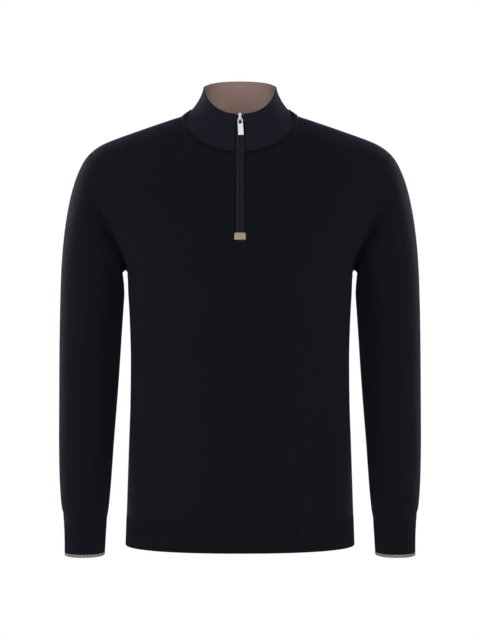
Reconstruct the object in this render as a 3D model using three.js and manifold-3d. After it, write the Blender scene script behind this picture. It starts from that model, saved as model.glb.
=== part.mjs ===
import * as THREE from 'three';
import Module from 'manifold-3d';

// A man's quarter zip sweater in fine dark knit, filled out as if worn, with both arms hanging.
// Millimetres, +Z up. The front faces -Y, and the wearer's left side is at +X.
// The origin is the middle of the neck, level with the neck ends of the shoulders, where the wearer
// carries it. Every cloth piece is a thin wall: rows and columns of points on the outside of the
// garment, and the same points moved in along the cloth's own direction.

// Cloth
const clothThickness = 1.8;
const facingThickness = 1.4;
const tapeThickness = 0.9;
const seamGap = 0.3;

// Torso, level by level. front and back are how far the cloth stands from the middle plane.
const torsoLevels = [
  { z: -690, halfWidth: 186.0, front: 113.0, back: 104.0 },
  { z: -640, halfWidth: 184.3, front: 112.0, back: 101.5 },
  { z: -587, halfWidth: 182.6, front: 110.5, back: 97.0 },
  { z: -521, halfWidth: 180.4, front: 110.0, back: 93.0 },
  { z: -456, halfWidth: 178.3, front: 111.0, back: 91.5 },
  { z: -391, halfWidth: 177.7, front: 114.0, back: 94.0 },
  { z: -326, halfWidth: 179.3, front: 117.0, back: 100.0 },
  { z: -293, halfWidth: 180.9, front: 118.0, back: 104.0 },
  { z: -262, halfWidth: 183.0, front: 118.5, back: 106.5 },
  { z: -250, halfWidth: 185.6, front: 118.0, back: 107.0 },
  { z: -190, halfWidth: 185.6, front: 113.5, back: 108.0 },
  { z: -120, halfWidth: 185.6, front: 98.0, back: 103.0 },
  { z: -80, halfWidth: 185.6, front: 84.0, back: 96.0 },
  { z: -58, halfWidth: 185.6, front: 75.5, back: 92.0 },
  { z: -35, halfWidth: 185.6, front: 64.0, back: 88.0 },
  { z: -17, halfWidth: 185.6, front: 56.0, back: 85.0 },
  { z: 14, halfWidth: 185.6, front: 45.0, back: 80.0 },
];
const sectionPower = { waist: 2.3, chest: 2.75, waistZ: -380, chestZ: -245 };
const armpitZ = -250;
const hemTopZ = -640;
const hemBottomZ = -690;

// Top of the shoulder at each distance from the middle. Inside the neck it only shapes the slope.
const shoulderTop = [
  { x: 0, z: 62.0 },
  { x: 46, z: 45.0 },
  { x: 65, z: 30.0 },
  { x: 80, z: 18.0 },
  { x: 92, z: 7.4 },
  { x: 113, z: 0.0 },
  { x: 156, z: -14.7 },
  { x: 188, z: -26.1 },
  { x: 214, z: -35.9 },
  { x: 233, z: -45.6 },
  { x: 240.5, z: -51.5 },
];
const shoulderRounding = 110;

// Armhole: an oval seen from the side, and this line seen from the front.
const armhole = {
  middleZ: -150.5, halfHeight: 99.5, frontDepth: 63, backDepth: 61, mitreBelow: 0.5, mitreSpan: 1.1,
};
const armholeLine = [
  { z: -250, x: 185.6 },
  { z: -222, x: 193.5 },
  { z: -192, x: 206.5 },
  { z: -163, x: 219.5 },
  { z: -130, x: 230.5 },
  { z: -98, x: 235.0 },
  { z: -67.4, x: 237.6 },
  { z: -51, x: 240.5 },
];
const armholeYokeAngle = 33.4;

// Neck seam, and the stand collar's top edge above it.
const neck = { halfWidth: 92, shoulderZ: 7.4, frontDrop: 65.9, dropPower: 1.05, backRise: 6.6, risePower: 2 };
const neckYokeAngleFront = 66;
const neckYokeAngleBack = 48;
const collarTop = {
  halfWidth: 59.5, frontY: -62, backY: 56, sideZ: 53.0, frontDrop: 51.0, backRise: 17.5,
  dropPower: 1.15, risePower: 1.0, power: 2.35,
};
const collarSweep = {
  frontDepth: 75.5, backDepth: 66, frontRise: 78, backRise: 58, sideRise: 20, sidePower: 3,
  frontTopRise: 78, backTopRise: 82, leaving: 0.9, leavingAtSide: 0.75, arriving: 0.9,
};
const collarSewnGap = 0.2;

// Shoulder yoke: how far its two seams lie below the top of the shoulder.
const yokeSeam = [
  { x: 68, front: 34.0, back: 19.0 },
  { x: 84, front: 32.0, back: 20.0 },
  { x: 100, front: 27.5, back: 21.0 },
  { x: 132, front: 26.0, back: 22.5 },
  { x: 172, front: 25.5, back: 24.0 },
  { x: 201, front: 23.0, back: 22.5 },
  { x: 229, front: 20.0, back: 20.0 },
  { x: 237.6, front: 18.4, back: 18.4 },
];

// Sleeve and cuff rings. x and y are the ring's middle, on the wearer's left.
const sleeveRings = [
  { z: -262, x: 239.2, y: 0.0, halfWidth: 52.4, halfDepth: 66.0 },
  { z: -305, x: 241.3, y: 2.0, halfWidth: 51.8, halfDepth: 63.6 },
  { z: -350, x: 243.4, y: 4.0, halfWidth: 50.7, halfDepth: 61.2 },
  { z: -395, x: 245.3, y: 5.0, halfWidth: 49.4, halfDepth: 58.8 },
  { z: -440, x: 247.0, y: 4.5, halfWidth: 47.9, halfDepth: 56.4 },
  { z: -485, x: 248.5, y: 0.5, halfWidth: 46.2, halfDepth: 53.6 },
  { z: -530, x: 249.7, y: -6.5, halfWidth: 44.3, halfDepth: 50.4 },
  { z: -575, x: 250.0, y: -16.0, halfWidth: 42.2, halfDepth: 47.2 },
  { z: -610, x: 249.7, y: -24.5, halfWidth: 39.7, halfDepth: 44.4 },
  { z: -632, x: 249.2, y: -30.0, halfWidth: 37.2, halfDepth: 41.9 },
  { z: -649, x: 248.8, y: -34.0, halfWidth: 34.4, halfDepth: 39.3 },
  { z: -668, x: 248.6, y: -37.5, halfWidth: 32.9, halfDepth: 38.0 },
  { z: -702, x: 248.9, y: -43.0, halfWidth: 31.7, halfDepth: 36.8 },
];
const sleevePower = 2.05;
const bicepsZ = sleeveRings[0].z;
const cap = { outward: 0.5, outwardAtTop: 0.25, forward: 0.18, leaving: 0.72, flare: 0.035, arriving: 0.88 };
const capInset = 40;
const shoulderInside = { x: 120, z: -200 };
const cuffTopZ = -649;
const cuffMiddleZ = -668;
const cuffTippingZ = -696.8;
const cuffBottomZ = -701.5;

// Ribbing, in two by two rib: one raised pair of wales and one sunk pair for each rib.
const ribPitch = 4.0;
const ribRelief = 0.7;
const ribWall = 1.9;
const hemInnerCells = 24;

// Zip: the slot widens downwards, and a small woven patch closes its foot.
const zipSlot = { halfWidthTop: 6.8, halfWidthNeck: 6.9, halfWidthFoot: 7.5, neckZ: -58.5, footZ: -194 };
const tapeHalfWidth = 13;
const tapeTrim = 1.8;
const tapeFootShare = 0.62;
const facingInset = { fromTape: 0.5, neckShare: 0.12 };
const zipPatch = { halfWidth: 9.0, topZ: -190, bottomZ: -201, thickness: 1.0, gap: 0.3 };
const slider = {
  axisZ: -6.5, top: 10.5, bottom: -4.5, topHalfWidth: 2.1, bottomHalfWidth: 3.2,
  back: -1.8, front: 0.9, rearFrom: -5.2, rearTo: -3.45, taperShare: 0.45,
  postFrom: 8.3, postHalfWidth: 1.6, postInset: 0.6, overlap: 0.3,
};
const bridge = { halfWidth: 1.3, legOuter: 3.4, legInner: 2.2, underside: 3.6, top: 4.8, rootDepth: 0.4 };
const pull = {
  axisOut: 2.3, barRadius: 0.8, windowHalfWidth: 2.3, windowFoot: -8.5, foot: -27.7,
  crownHalfWidth: 3.0, shoulderDrop: 3.2, topHalfWidth: 4.2, footHalfWidth: 4.5, corner: 0.7, tilt: 3.5,
  shoulderBend: 0.4,
};

// Rows and columns
const neckColumns = 5;
const shoulderColumns = 8;
const yokeCells = 6;
const upperRows = 9;
const upperRowPower = 0.88;
const lowerRows = 9;
const lowerRowPower = 0.92;
const capShares = [0, 0.07, 0.15, 0.25, 0.37, 0.51, 0.67, 0.84, 1];
const collarRows = 5;
const neckEdgeAngle = 22;
const slotFootAngle = 1.2;
const rowsUnderSlot = 4;

const toRadians = THREE.MathUtils.degToRad;
const lerp = THREE.MathUtils.lerp;
const point = (x, y, z) => new THREE.Vector3(x, y, z);
const mirrored = (p) => point(-p.x, p.y, p.z);
const signedPower = (value, power) => Math.sign(value) * Math.abs(value) ** power;

// A smooth curve through one column of a table, with no overshoot between its rows.
function through(table, inKey, outKey) {
  const rows = [...table].sort((a, b) => a[inKey] - b[inKey]);
  const at = rows.map((row) => row[inKey]);
  const value = rows.map((row) => row[outKey]);
  const last = rows.length - 1;
  const step = at.slice(1).map((x, i) => (value[i + 1] - value[i]) / (x - at[i]));
  const slope = at.map((_, i) => {
    if (i === 0) return step[0];
    if (i === last) return step[last - 1];
    return step[i - 1] * step[i] <= 0 ? 0 : (2 * step[i - 1] * step[i]) / (step[i - 1] + step[i]);
  });
  return (x) => {
    const clamped = THREE.MathUtils.clamp(x, at[0], at[last]);
    let i = 0;
    while (i < last - 1 && clamped > at[i + 1]) i += 1;
    const width = at[i + 1] - at[i];
    const t = (clamped - at[i]) / width;
    return (
      (1 + 2 * t) * (1 - t) ** 2 * value[i] +
      t * (1 - t) ** 2 * width * slope[i] +
      t * t * (3 - 2 * t) * value[i + 1] +
      t * t * (t - 1) * width * slope[i + 1]
    );
  };
}

const sideAt = through(torsoLevels, 'z', 'halfWidth');
const depthAt = {
  front: through(torsoLevels, 'z', 'front'),
  back: through(torsoLevels, 'z', 'back'),
};
const shoulderZ = through(shoulderTop, 'x', 'z');
const armholeX = through(armholeLine, 'z', 'x');
const yokeDrop = {
  front: through(yokeSeam, 'x', 'front'),
  back: through(yokeSeam, 'x', 'back'),
};
const ringAt = {
  x: through(sleeveRings, 'z', 'x'),
  y: through(sleeveRings, 'z', 'y'),
  halfWidth: through(sleeveRings, 'z', 'halfWidth'),
  halfDepth: through(sleeveRings, 'z', 'halfDepth'),
};
const outwardY = { front: -1, back: 1 };

// A cubic from one point to another that leaves and arrives along the given directions.
function sweep(start, leaving, end, arriving, t) {
  return point(0, 0, 0)
    .addScaledVector(start, (1 + 2 * t) * (1 - t) ** 2)
    .addScaledVector(leaving, t * (1 - t) ** 2)
    .addScaledVector(end, t * t * (3 - 2 * t))
    .addScaledVector(arriving, t * t * (t - 1));
}

// Torso surface, one side of the middle: the cloth's distance from the middle plane at x and z.
const armholeDepth = (z, side) => {
  const share = (z - armhole.middleZ) / armhole.halfHeight;
  return armhole[`${side}Depth`] * Math.sqrt(Math.max(0, 1 - share * share));
};
const shoulderShare = (x, z) => {
  const above = 1 - (shoulderZ(x) - z) / shoulderRounding;
  return above <= 0 ? 1 : Math.sqrt(Math.max(0, 1 - Math.min(1, above) ** 2));
};
const powerAt = (z) => {
  const risen = THREE.MathUtils.smoothstep(z, sectionPower.waistZ, sectionPower.chestZ);
  return lerp(sectionPower.waist, sectionPower.chest, risen);
};
const sectionDepth = (share, power) => Math.max(0, 1 - share ** power) ** (1 / power);
const armholeTopZ = armhole.middleZ + armhole.halfHeight * Math.cos(toRadians(armholeYokeAngle));

// The half width that the torso's section would have if it ran on past the armhole.
function sectionHalfWidth(z, side) {
  if (z <= armpitZ) return sideAt(z);
  const level = Math.min(z, armholeTopZ);
  const edge = armholeX(level);
  const share = armholeDepth(level, side) / (depthAt[side](level) * shoulderShare(edge, level));
  return edge / sectionDepth(share, powerAt(level));
}
function torsoPoint(x, z, side) {
  const share = Math.min(1, x / sectionHalfWidth(z, side));
  const depth = depthAt[side](z) * sectionDepth(share, powerAt(z)) * shoulderShare(x, z);
  return point(x, outwardY[side] * depth, z);
}
function armholePoint(angle, side) {
  const z = armhole.middleZ + armhole.halfHeight * Math.cos(toRadians(angle));
  const y = outwardY[side] * armhole[`${side}Depth`] * Math.sin(toRadians(angle));
  return point(armholeX(z), y, z);
}
function neckPoint(angle, side) {
  const across = Math.cos(toRadians(angle));
  const x = neck.halfWidth * Math.sin(toRadians(angle));
  const z = side === 'front'
    ? neck.shoulderZ - neck.frontDrop * across ** neck.dropPower
    : neck.shoulderZ + neck.backRise * across ** neck.risePower;
  return torsoPoint(x, z, side);
}
function slotHalfWidth(z) {
  const share = (z - zipSlot.footZ) / (zipSlot.neckZ - zipSlot.footZ);
  return lerp(zipSlot.halfWidthFoot, zipSlot.halfWidthNeck, THREE.MathUtils.clamp(share, 0, 1));
}

// One half of the front or back: columns run from the middle to the side, rows from the hem up.
function torsoHalf(side) {
  const isFront = side === 'front';
  const yokeAngle = isFront ? neckYokeAngleFront : neckYokeAngleBack;
  const slotAngle = THREE.MathUtils.radToDeg(Math.asin(zipSlot.halfWidthNeck / neck.halfWidth));
  const firstAngle = isFront ? slotAngle : 0;
  const columnCount = neckColumns + shoulderColumns;
  const columns = Array.from({ length: columnCount + 1 }, (_, i) => {
    const inNeck = i <= neckColumns;
    const along = inNeck ? i / neckColumns : (i - neckColumns) / shoulderColumns;
    const angle = inNeck
      ? lerp(isFront ? slotFootAngle : 0, neckEdgeAngle, along)
      : lerp(neckEdgeAngle, 90, along);
    const low = Math.sin(toRadians(angle)) ** (2 / sectionPower.waist);
    if (inNeck) return { low, top: neckPoint(lerp(firstAngle, yokeAngle, along), side) };
    const x = lerp(neckPoint(yokeAngle, side).x, armholePoint(armholeYokeAngle, side).x, along);
    const seam = torsoPoint(x, shoulderZ(x) - yokeDrop[side](x), side);
    return { low, top: i === columnCount ? armholePoint(armholeYokeAngle, side) : seam };
  });
  const rows = [];
  for (let j = 0; j < lowerRows; j += 1) {
    const z = lerp(hemTopZ, armpitZ, (j / lowerRows) ** lowerRowPower);
    rows.push(columns.map(({ low }, i) =>
      torsoPoint(isFront && i === 0 ? zipSlot.halfWidthFoot : low * sideAt(z), z, side)));
  }
  for (let j = 0; j <= upperRows; j += 1) {
    const angle = lerp(180, armholeYokeAngle, (j / upperRows) ** upperRowPower);
    const edge = armholePoint(angle, side);
    const risen = (edge.z - armpitZ) / (armholeTopZ - armpitZ);
    rows.push(columns.map(({ low, top }, i) => {
      if (j === upperRows) return top.clone();
      if (i === columnCount) return edge;
      const z = lerp(armpitZ, top.z, risen);
      const share = lerp(low, top.x / columns[columnCount].top.x, risen);
      return torsoPoint(isFront && i === 0 ? slotHalfWidth(z) : share * edge.x, z, side);
    }));
  }
  return rows;
}

// The yoke's half: columns run from the neck to the armhole, rows from the front seam to the back seam.
function yokeHalf(frontTop, backTop) {
  const rows = [];
  for (let k = 0; k <= yokeCells; k += 1) {
    const across = k / yokeCells;
    const angle = lerp(-armholeYokeAngle, armholeYokeAngle, across);
    const neckTurn = lerp(neckYokeAngleFront - 90, 90 - neckYokeAngleBack, across);
    const row = [];
    for (let i = neckColumns; i < frontTop.length; i += 1) {
      const seamFront = frontTop[i];
      const seamBack = backTop[i];
      if (k === 0 || k === yokeCells) {
        row.push((k === 0 ? seamFront : seamBack).clone());
      } else if (i === neckColumns) {
        row.push(neckPoint(90 - Math.abs(neckTurn), neckTurn < 0 ? 'front' : 'back'));
      } else if (i === frontTop.length - 1) {
        row.push(armholePoint(Math.abs(angle), angle < 0 ? 'front' : 'back'));
      } else {
        const x = lerp(seamFront.x, seamBack.x, across);
        const turnOf = (z) => Math.acos(1 - (shoulderZ(x) - z) / shoulderRounding);
        const turn = lerp(-turnOf(seamFront.z), turnOf(seamBack.z), across);
        const z = shoulderZ(x) - shoulderRounding * (1 - Math.cos(turn));
        row.push(torsoPoint(x, z, turn < 0 ? 'front' : 'back'));
      }
    }
    rows.push(row);
  }
  return rows;
}

// The sleeve on the wearer's left. The first ring is the armhole seam, point for point.
function ringPoint(z, angle, side) {
  const across = signedPower(Math.cos(toRadians(angle)), 2 / sleevePower);
  const deep = signedPower(Math.sin(toRadians(angle)), 2 / sleevePower);
  return point(
    ringAt.x(z) + ringAt.halfWidth(z) * across,
    ringAt.y(z) + outwardY[side] * ringAt.halfDepth(z) * deep,
    z,
  );
}
function sleeveSurface(seam) {
  const starts = seam.map((p) => {
    const side = p.y > 0 ? 'back' : 'front';
    const up = THREE.MathUtils.clamp((p.z - armhole.middleZ) / armhole.halfHeight, -1, 1);
    const angle = THREE.MathUtils.radToDeg(Math.acos(up));
    const end = ringPoint(bicepsZ, angle, side);
    const reach = p.distanceTo(end);
    const outX = cap.outward + cap.outwardAtTop * up;
    const outY = outwardY[side] * cap.forward * Math.sin(toRadians(angle));
    const leaving = point(outX, outY, -Math.sqrt(1 - outX * outX)).multiplyScalar(cap.leaving * reach);
    const arriving = point(cap.flare, 0, -1).multiplyScalar(cap.arriving * reach);
    return { p, side, angle, end, leaving, arriving };
  });
  const rows = capShares.map((t) =>
    starts.map(({ p, leaving, end, arriving }) => sweep(p, leaving, end, arriving, t)));
  for (const { z } of sleeveRings.slice(1).filter((ring) => ring.z >= cuffTopZ)) {
    rows.push(starts.map(({ angle, side }) => ringPoint(z, angle, side)));
  }
  return rows;
}

// The stand collar: from the neck seam up to its top edge, flaring where it meets the shoulder.
function collarSurface(seam) {
  const columns = seam.map((base, i) => {
    const isFront = base.y < 0;
    const neckDepth = isFront ? collarSweep.frontDepth : collarSweep.backDepth;
    const turn = Math.atan2(Math.abs(base.x) / neck.halfWidth, Math.abs(base.y) / neckDepth);
    const side = Math.sin(turn);
    const along = Math.cos(turn);
    const isSlotEdge = i === 0 || i === seam.length - 1;
    const x = isSlotEdge ? zipSlot.halfWidthTop : collarTop.halfWidth * side ** (2 / collarTop.power);
    const y = (isFront ? collarTop.frontY : collarTop.backY) * along ** (2 / collarTop.power);
    const z = collarTop.sideZ + (isFront
      ? -collarTop.frontDrop * along ** collarTop.dropPower
      : collarTop.backRise * along ** collarTop.risePower);
    const top = point(Math.sign(base.x) * x, y, z);
    const inward = point(top.x - base.x, top.y - base.y, 0).normalize();
    const sideShare = side ** collarSweep.sidePower;
    const middleRise = isFront ? collarSweep.frontRise : collarSweep.backRise;
    const rise = toRadians(lerp(middleRise, collarSweep.sideRise, sideShare));
    const height = base.distanceTo(top);
    const leaving = inward.clone().multiplyScalar(Math.cos(rise)).setZ(Math.sin(rise))
      .multiplyScalar(height * lerp(collarSweep.leaving, collarSweep.leavingAtSide, sideShare));
    const topRise = toRadians(isFront ? collarSweep.frontTopRise : collarSweep.backTopRise);
    const arriving = inward.clone().multiplyScalar(Math.cos(topRise)).setZ(Math.sin(topRise))
      .multiplyScalar(height * collarSweep.arriving);
    return { base, leaving, top, arriving };
  });
  return Array.from({ length: collarRows + 1 }, (_, j) =>
    columns.map(({ base, leaving, top, arriving }) =>
      sweep(base, leaving, top, arriving, j / collarRows)));
}

// Outward directions at every point, shared by panels that meet, so that seams are mitred.
const keyOf = (p) => [p.x, p.y, p.z].map((value) => Math.round(value * 100)).join();
function directionsOf(panels) {
  const sums = new Map();
  for (const { rows, wrap, middle } of panels) {
    const width = rows[0].length;
    const cells = wrap ? width : width - 1;
    const faces = [];
    for (let j = 0; j + 1 < rows.length; j += 1) {
      for (let i = 0; i < cells; i += 1) {
        const next = (i + 1) % width;
        const corners = [rows[j][i], rows[j][next], rows[j + 1][next], rows[j + 1][i]];
        const across = corners[2].clone().sub(corners[0]);
        const normal = across.cross(corners[3].clone().sub(corners[1]));
        faces.push({ corners, normal });
      }
    }
    const outward = faces.reduce((sum, { corners, normal }) =>
      sum + normal.dot(corners[0].clone().sub(middle(corners[0].z))), 0);
    for (const { corners, normal } of faces) {
      normal.multiplyScalar(Math.sign(outward));
      for (const corner of corners) {
        const key = keyOf(corner);
        if (!sums.has(key)) sums.set(key, point(0, 0, 0));
        sums.get(key).add(normal);
      }
    }
  }
  for (const sum of sums.values()) sum.normalize();
  return sums;
}

// At the armpit the two cloths fold back on each other, so the seam's cloth points at the armhole's middle.
function mitreArmhole(directions, seam, mirror) {
  for (const p of seam) {
    const up = (p.z - armhole.middleZ) / armhole.halfHeight;
    const smooth = THREE.MathUtils.clamp((up + armhole.mitreBelow) / armhole.mitreSpan, 0, 1);
    const middle = point(p.x, 0, armhole.middleZ);
    const radial = p.clone().sub(middle).normalize();
    const at = mirror ? mirrored(p) : p;
    const welded = directions.get(keyOf(at));
    welded.multiplyScalar(smooth).addScaledVector(mirror ? mirrored(radial) : radial, 1 - smooth);
    welded.normalize();
  }
}

// A closed solid from vertices and triangles, turned so that its faces point out.
function closedGeometry(vertices, triangles) {
  let volume = 0;
  for (const [a, b, c] of triangles) {
    volume += vertices[a].dot(vertices[b].clone().cross(vertices[c]));
  }
  const index = triangles.flatMap(([a, b, c]) => (volume < 0 ? [a, c, b] : [a, b, c]));
  const geometry = new THREE.BufferGeometry().setFromPoints(vertices).setIndex(index);
  geometry.computeVertexNormals();
  return geometry;
}

// A wall between two depths under a grid of outside points. seams lists the edges that are sewn.
function clothWall(rows, directionAt, options) {
  const { from = 0, to = clothThickness, seams = [], sewnGap = seamGap / 2, wrap, keep } = options;
  const height = rows.length;
  const width = rows[0].length;
  const cellsAcross = wrap ? width : width - 1;
  const isKept = (j, i) => {
    const column = wrap ? (i + width) % width : i;
    if (j < 0 || j >= height - 1 || column < 0 || column >= cellsAcross) return false;
    return keep ? keep(j, column) : true;
  };
  const shift = rows.map((row) => row.map(() => point(0, 0, 0)));
  const edges = {
    bottom: { onEdge: (j) => j === 0, inward: [1, 0], along: [0, 1] },
    top: { onEdge: (j) => j === height - 1, inward: [-1, 0], along: [0, 1] },
    first: { onEdge: (j, i) => i === 0, inward: [0, 1], along: [1, 0] },
    last: { onEdge: (j, i) => i === width - 1, inward: [0, -1], along: [1, 0] },
  };
  const cell = (j, i) => {
    const column = wrap ? (i + width) % width : THREE.MathUtils.clamp(i, 0, width - 1);
    return rows[THREE.MathUtils.clamp(j, 0, height - 1)][column];
  };
  for (const name of seams) {
    const { onEdge, inward, along } = edges[name];
    rows.forEach((row, j) => row.forEach((p, i) => {
      if (!onEdge(j, i)) return;
      const tangent = cell(j + along[0], i + along[1]).clone().sub(cell(j - along[0], i - along[1]));
      const away = tangent.cross(directionAt(p)).normalize();
      const inside = cell(j + inward[0], i + inward[1]).clone().sub(p);
      shift[j][i].addScaledVector(away, Math.sign(away.dot(inside)) * sewnGap);
    }));
  }
  const vertices = [];
  for (const depth of [from, to]) {
    rows.forEach((row, j) => row.forEach((p, i) => {
      vertices.push(p.clone().add(shift[j][i]).addScaledVector(directionAt(p), -depth));
    }));
  }
  const outer = (j, i) => j * width + ((i + width) % width);
  const inner = (j, i) => height * width + outer(j, i);
  const triangles = [];
  const quad = (a, b, c, d) => triangles.push([a, b, c], [a, c, d]);
  for (let j = 0; j < height - 1; j += 1) {
    for (let i = 0; i < cellsAcross; i += 1) {
      if (!isKept(j, i)) continue;
      quad(outer(j, i), outer(j, i + 1), outer(j + 1, i + 1), outer(j + 1, i));
      quad(inner(j, i), inner(j + 1, i), inner(j + 1, i + 1), inner(j, i + 1));
      if (!isKept(j - 1, i)) quad(outer(j, i), inner(j, i), inner(j, i + 1), outer(j, i + 1));
      if (!isKept(j + 1, i)) {
        quad(outer(j + 1, i + 1), inner(j + 1, i + 1), inner(j + 1, i), outer(j + 1, i));
      }
      if (!isKept(j, i - 1)) quad(outer(j + 1, i), inner(j + 1, i), inner(j, i), outer(j, i));
      if (!isKept(j, i + 1)) {
        quad(outer(j, i + 1), inner(j, i + 1), inner(j + 1, i + 1), outer(j + 1, i + 1));
      }
    }
  }
  const used = [...new Set(triangles.flat())].sort((a, b) => a - b);
  const renumbered = new Map(used.map((old, now) => [old, now]));
  return closedGeometry(
    used.map((old) => vertices[old]),
    triangles.map((triangle) => triangle.map((old) => renumbered.get(old))),
  );
}

// Ribbing: a band along a level curve whose outside rises and falls once for each rib, over a plain inside.
function evenly(curve, count) {
  const samples = 720;
  const line = Array.from({ length: samples + 1 }, (_, i) => curve(i / samples));
  const length = [0];
  for (let i = 1; i <= samples; i += 1) length.push(length[i - 1] + line[i].distanceTo(line[i - 1]));
  const total = length[samples];
  const at = (distance) => {
    let i = 1;
    while (i < samples && length[i] < distance) i += 1;
    const t = (distance - length[i - 1]) / (length[i] - length[i - 1]);
    const along = line[i].clone().sub(line[i - 1]).normalize();
    return { p: line[i - 1].clone().lerp(line[i], t), out: point(along.y, -along.x, 0) };
  };
  return { total, points: Array.from({ length: count + 1 }, (_, i) => at((total * i) / count)) };
}
function ribbedBand(curveAt, levels, { closed, ribs, innerCells }) {
  const outerCells = ribs * 2;
  const vertices = [];
  const outerRows = [];
  const innerRows = [];
  for (const z of levels) {
    const outside = evenly(curveAt(z), outerCells).points;
    const inside = evenly(curveAt(z), innerCells).points;
    if (closed) {
      outside.pop();
      inside.pop();
    }
    const place = ({ p, out }, distance) => vertices.push(p.clone().addScaledVector(out, distance)) - 1;
    outerRows.push(outside.map((spot, i) => place(spot, (i % 2 ? -0.5 : 0.5) * ribRelief)));
    innerRows.push(inside.map((spot) => place(spot, -ribWall)));
  }
  const triangles = [];
  const join = (row, i) => row[i % row.length];
  const skin = (low, high, cells, flip) => {
    for (let i = 0; i < cells; i += 1) {
      const [a, b] = [join(low, i), join(low, i + 1)];
      const [c, d] = [join(high, i + 1), join(high, i)];
      triangles.push(...(flip ? [[a, c, b], [a, d, c]] : [[a, b, c], [a, c, d]]));
    }
  };
  const rim = (outside, inside, flip) => {
    let i = 0;
    let k = 0;
    while (i < outerCells || k < innerCells) {
      const isBehind = (i + 0.5) / outerCells <= (k + 0.5) / innerCells;
      const stepOutside = k === innerCells || (i < outerCells && isBehind);
      const triangle = stepOutside
        ? [join(outside, i), join(outside, i + 1), join(inside, k)]
        : [join(inside, k + 1), join(inside, k), join(outside, i)];
      triangles.push(flip ? triangle.reverse() : triangle);
      if (stepOutside) i += 1;
      else k += 1;
    }
  };
  for (let j = 0; j + 1 < levels.length; j += 1) {
    skin(outerRows[j], outerRows[j + 1], outerCells, false);
    skin(innerRows[j], innerRows[j + 1], innerCells, true);
    if (!closed) {
      for (const [end, flip] of [[0, false], [-1, true]]) {
        const corners = [outerRows[j], outerRows[j + 1], innerRows[j + 1], innerRows[j]]
          .map((row) => row.at(end));
        const [a, b, c, d] = flip ? corners.reverse() : corners;
        triangles.push([a, b, c], [a, c, d]);
      }
    }
  }
  rim(outerRows[0], innerRows[0], true);
  rim(outerRows.at(-1), innerRows.at(-1), false);
  return closedGeometry(vertices, triangles);
}
function hemCurve(side) {
  const from = side === 'front' ? -90 : 90;
  return (z) => (share) => {
    const gap = THREE.MathUtils.radToDeg((seamGap / 2 / depthAt[side](z)) ** (sectionPower.waist / 2));
    const turn = toRadians(lerp(from + gap, from + 180 - gap, share));
    const x = sideAt(z) * signedPower(Math.sin(turn), 2 / sectionPower.waist);
    const deep = depthAt[side](z) * Math.abs(Math.cos(turn)) ** (2 / sectionPower.waist);
    return point(x, outwardY[side] * deep, z);
  };
}
function cuffCurve(mirror) {
  return (z) => (share) => {
    const p = ringPoint(z, mirror ? lerp(180, -180, share) : lerp(-180, 180, share), 'back');
    return mirror ? mirrored(p) : p;
  };
}

const wasm = await Module();
wasm.setup();
function solidFrom(geometry) {
  const source = geometry.index ? geometry : geometry.clone();
  const position = source.getAttribute('position');
  const places = new Map();
  const vertices = [];
  const numbers = [];
  const corners = source.index ? [...source.index.array] : [...Array(position.count).keys()];
  for (const corner of corners) {
    const p = point(0, 0, 0).fromBufferAttribute(position, corner);
    const key = [p.x, p.y, p.z].map((value) => value.toFixed(4)).join();
    if (!places.has(key)) places.set(key, vertices.push(p.x, p.y, p.z) / 3 - 1);
    numbers.push(places.get(key));
  }
  return new wasm.Manifold(new wasm.Mesh({
    numProp: 3,
    vertProperties: new Float32Array(vertices),
    triVerts: new Uint32Array(numbers),
  }));
}
function joined(geometries) {
  const mesh = geometries.map(solidFrom).reduce((whole, piece) => whole.add(piece)).getMesh();
  const geometry = new THREE.BufferGeometry();
  geometry.setAttribute('position', new THREE.BufferAttribute(mesh.vertProperties, 3));
  geometry.setIndex(new THREE.BufferAttribute(mesh.triVerts, 1));
  return geometry;
}
function block(xs, ys, zs) {
  const size = [xs, ys, zs].map(([low, high]) => high - low);
  return new THREE.BoxGeometry(...size).translate(
    (xs[0] + xs[1]) / 2, (ys[0] + ys[1]) / 2, (zs[0] + zs[1]) / 2);
}

// The slider's own frame: x across, y up along the collar, z out of the cloth, the pull's axis at the origin.
function taperedPlate(low, high) {
  const outline = new THREE.Shape();
  outline.moveTo(-slider.bottomHalfWidth, slider.bottom);
  outline.lineTo(slider.bottomHalfWidth, slider.bottom);
  outline.lineTo(slider.topHalfWidth, slider.top * slider.taperShare);
  outline.absarc(0, slider.top - slider.topHalfWidth, slider.topHalfWidth, 0, Math.PI);
  outline.lineTo(-slider.topHalfWidth, slider.top * slider.taperShare);
  outline.closePath();
  return new THREE.ExtrudeGeometry(outline, { depth: high - low, bevelEnabled: false, curveSegments: 8 })
    .translate(0, 0, low);
}
function sliderGeometry() {
  const root = slider.front - bridge.rootDepth;
  const profile = new THREE.Shape();
  profile.moveTo(-bridge.legOuter, root);
  profile.lineTo(-bridge.legOuter, bridge.underside);
  profile.lineTo(-bridge.legInner, bridge.top);
  profile.lineTo(bridge.legInner, bridge.top);
  profile.lineTo(bridge.legOuter, bridge.underside);
  profile.lineTo(bridge.legOuter, root);
  profile.lineTo(bridge.legInner, root);
  profile.lineTo(bridge.legInner, bridge.underside);
  profile.lineTo(-bridge.legInner, bridge.underside);
  profile.lineTo(-bridge.legInner, root);
  profile.closePath();
  const arch = new THREE.ExtrudeGeometry(profile, { depth: bridge.halfWidth * 2, bevelEnabled: false })
    .translate(0, 0, -bridge.halfWidth)
    .rotateY(Math.PI / 2)
    .rotateX(Math.PI / 2);
  const post = block(
    [-slider.postHalfWidth, slider.postHalfWidth],
    [slider.postFrom, slider.top - slider.postInset],
    [slider.rearFrom + slider.overlap, slider.front - slider.overlap],
  );
  return joined([
    taperedPlate(slider.back, slider.front),
    taperedPlate(slider.rearFrom, slider.rearTo),
    post,
    arch,
  ]);
}
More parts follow.
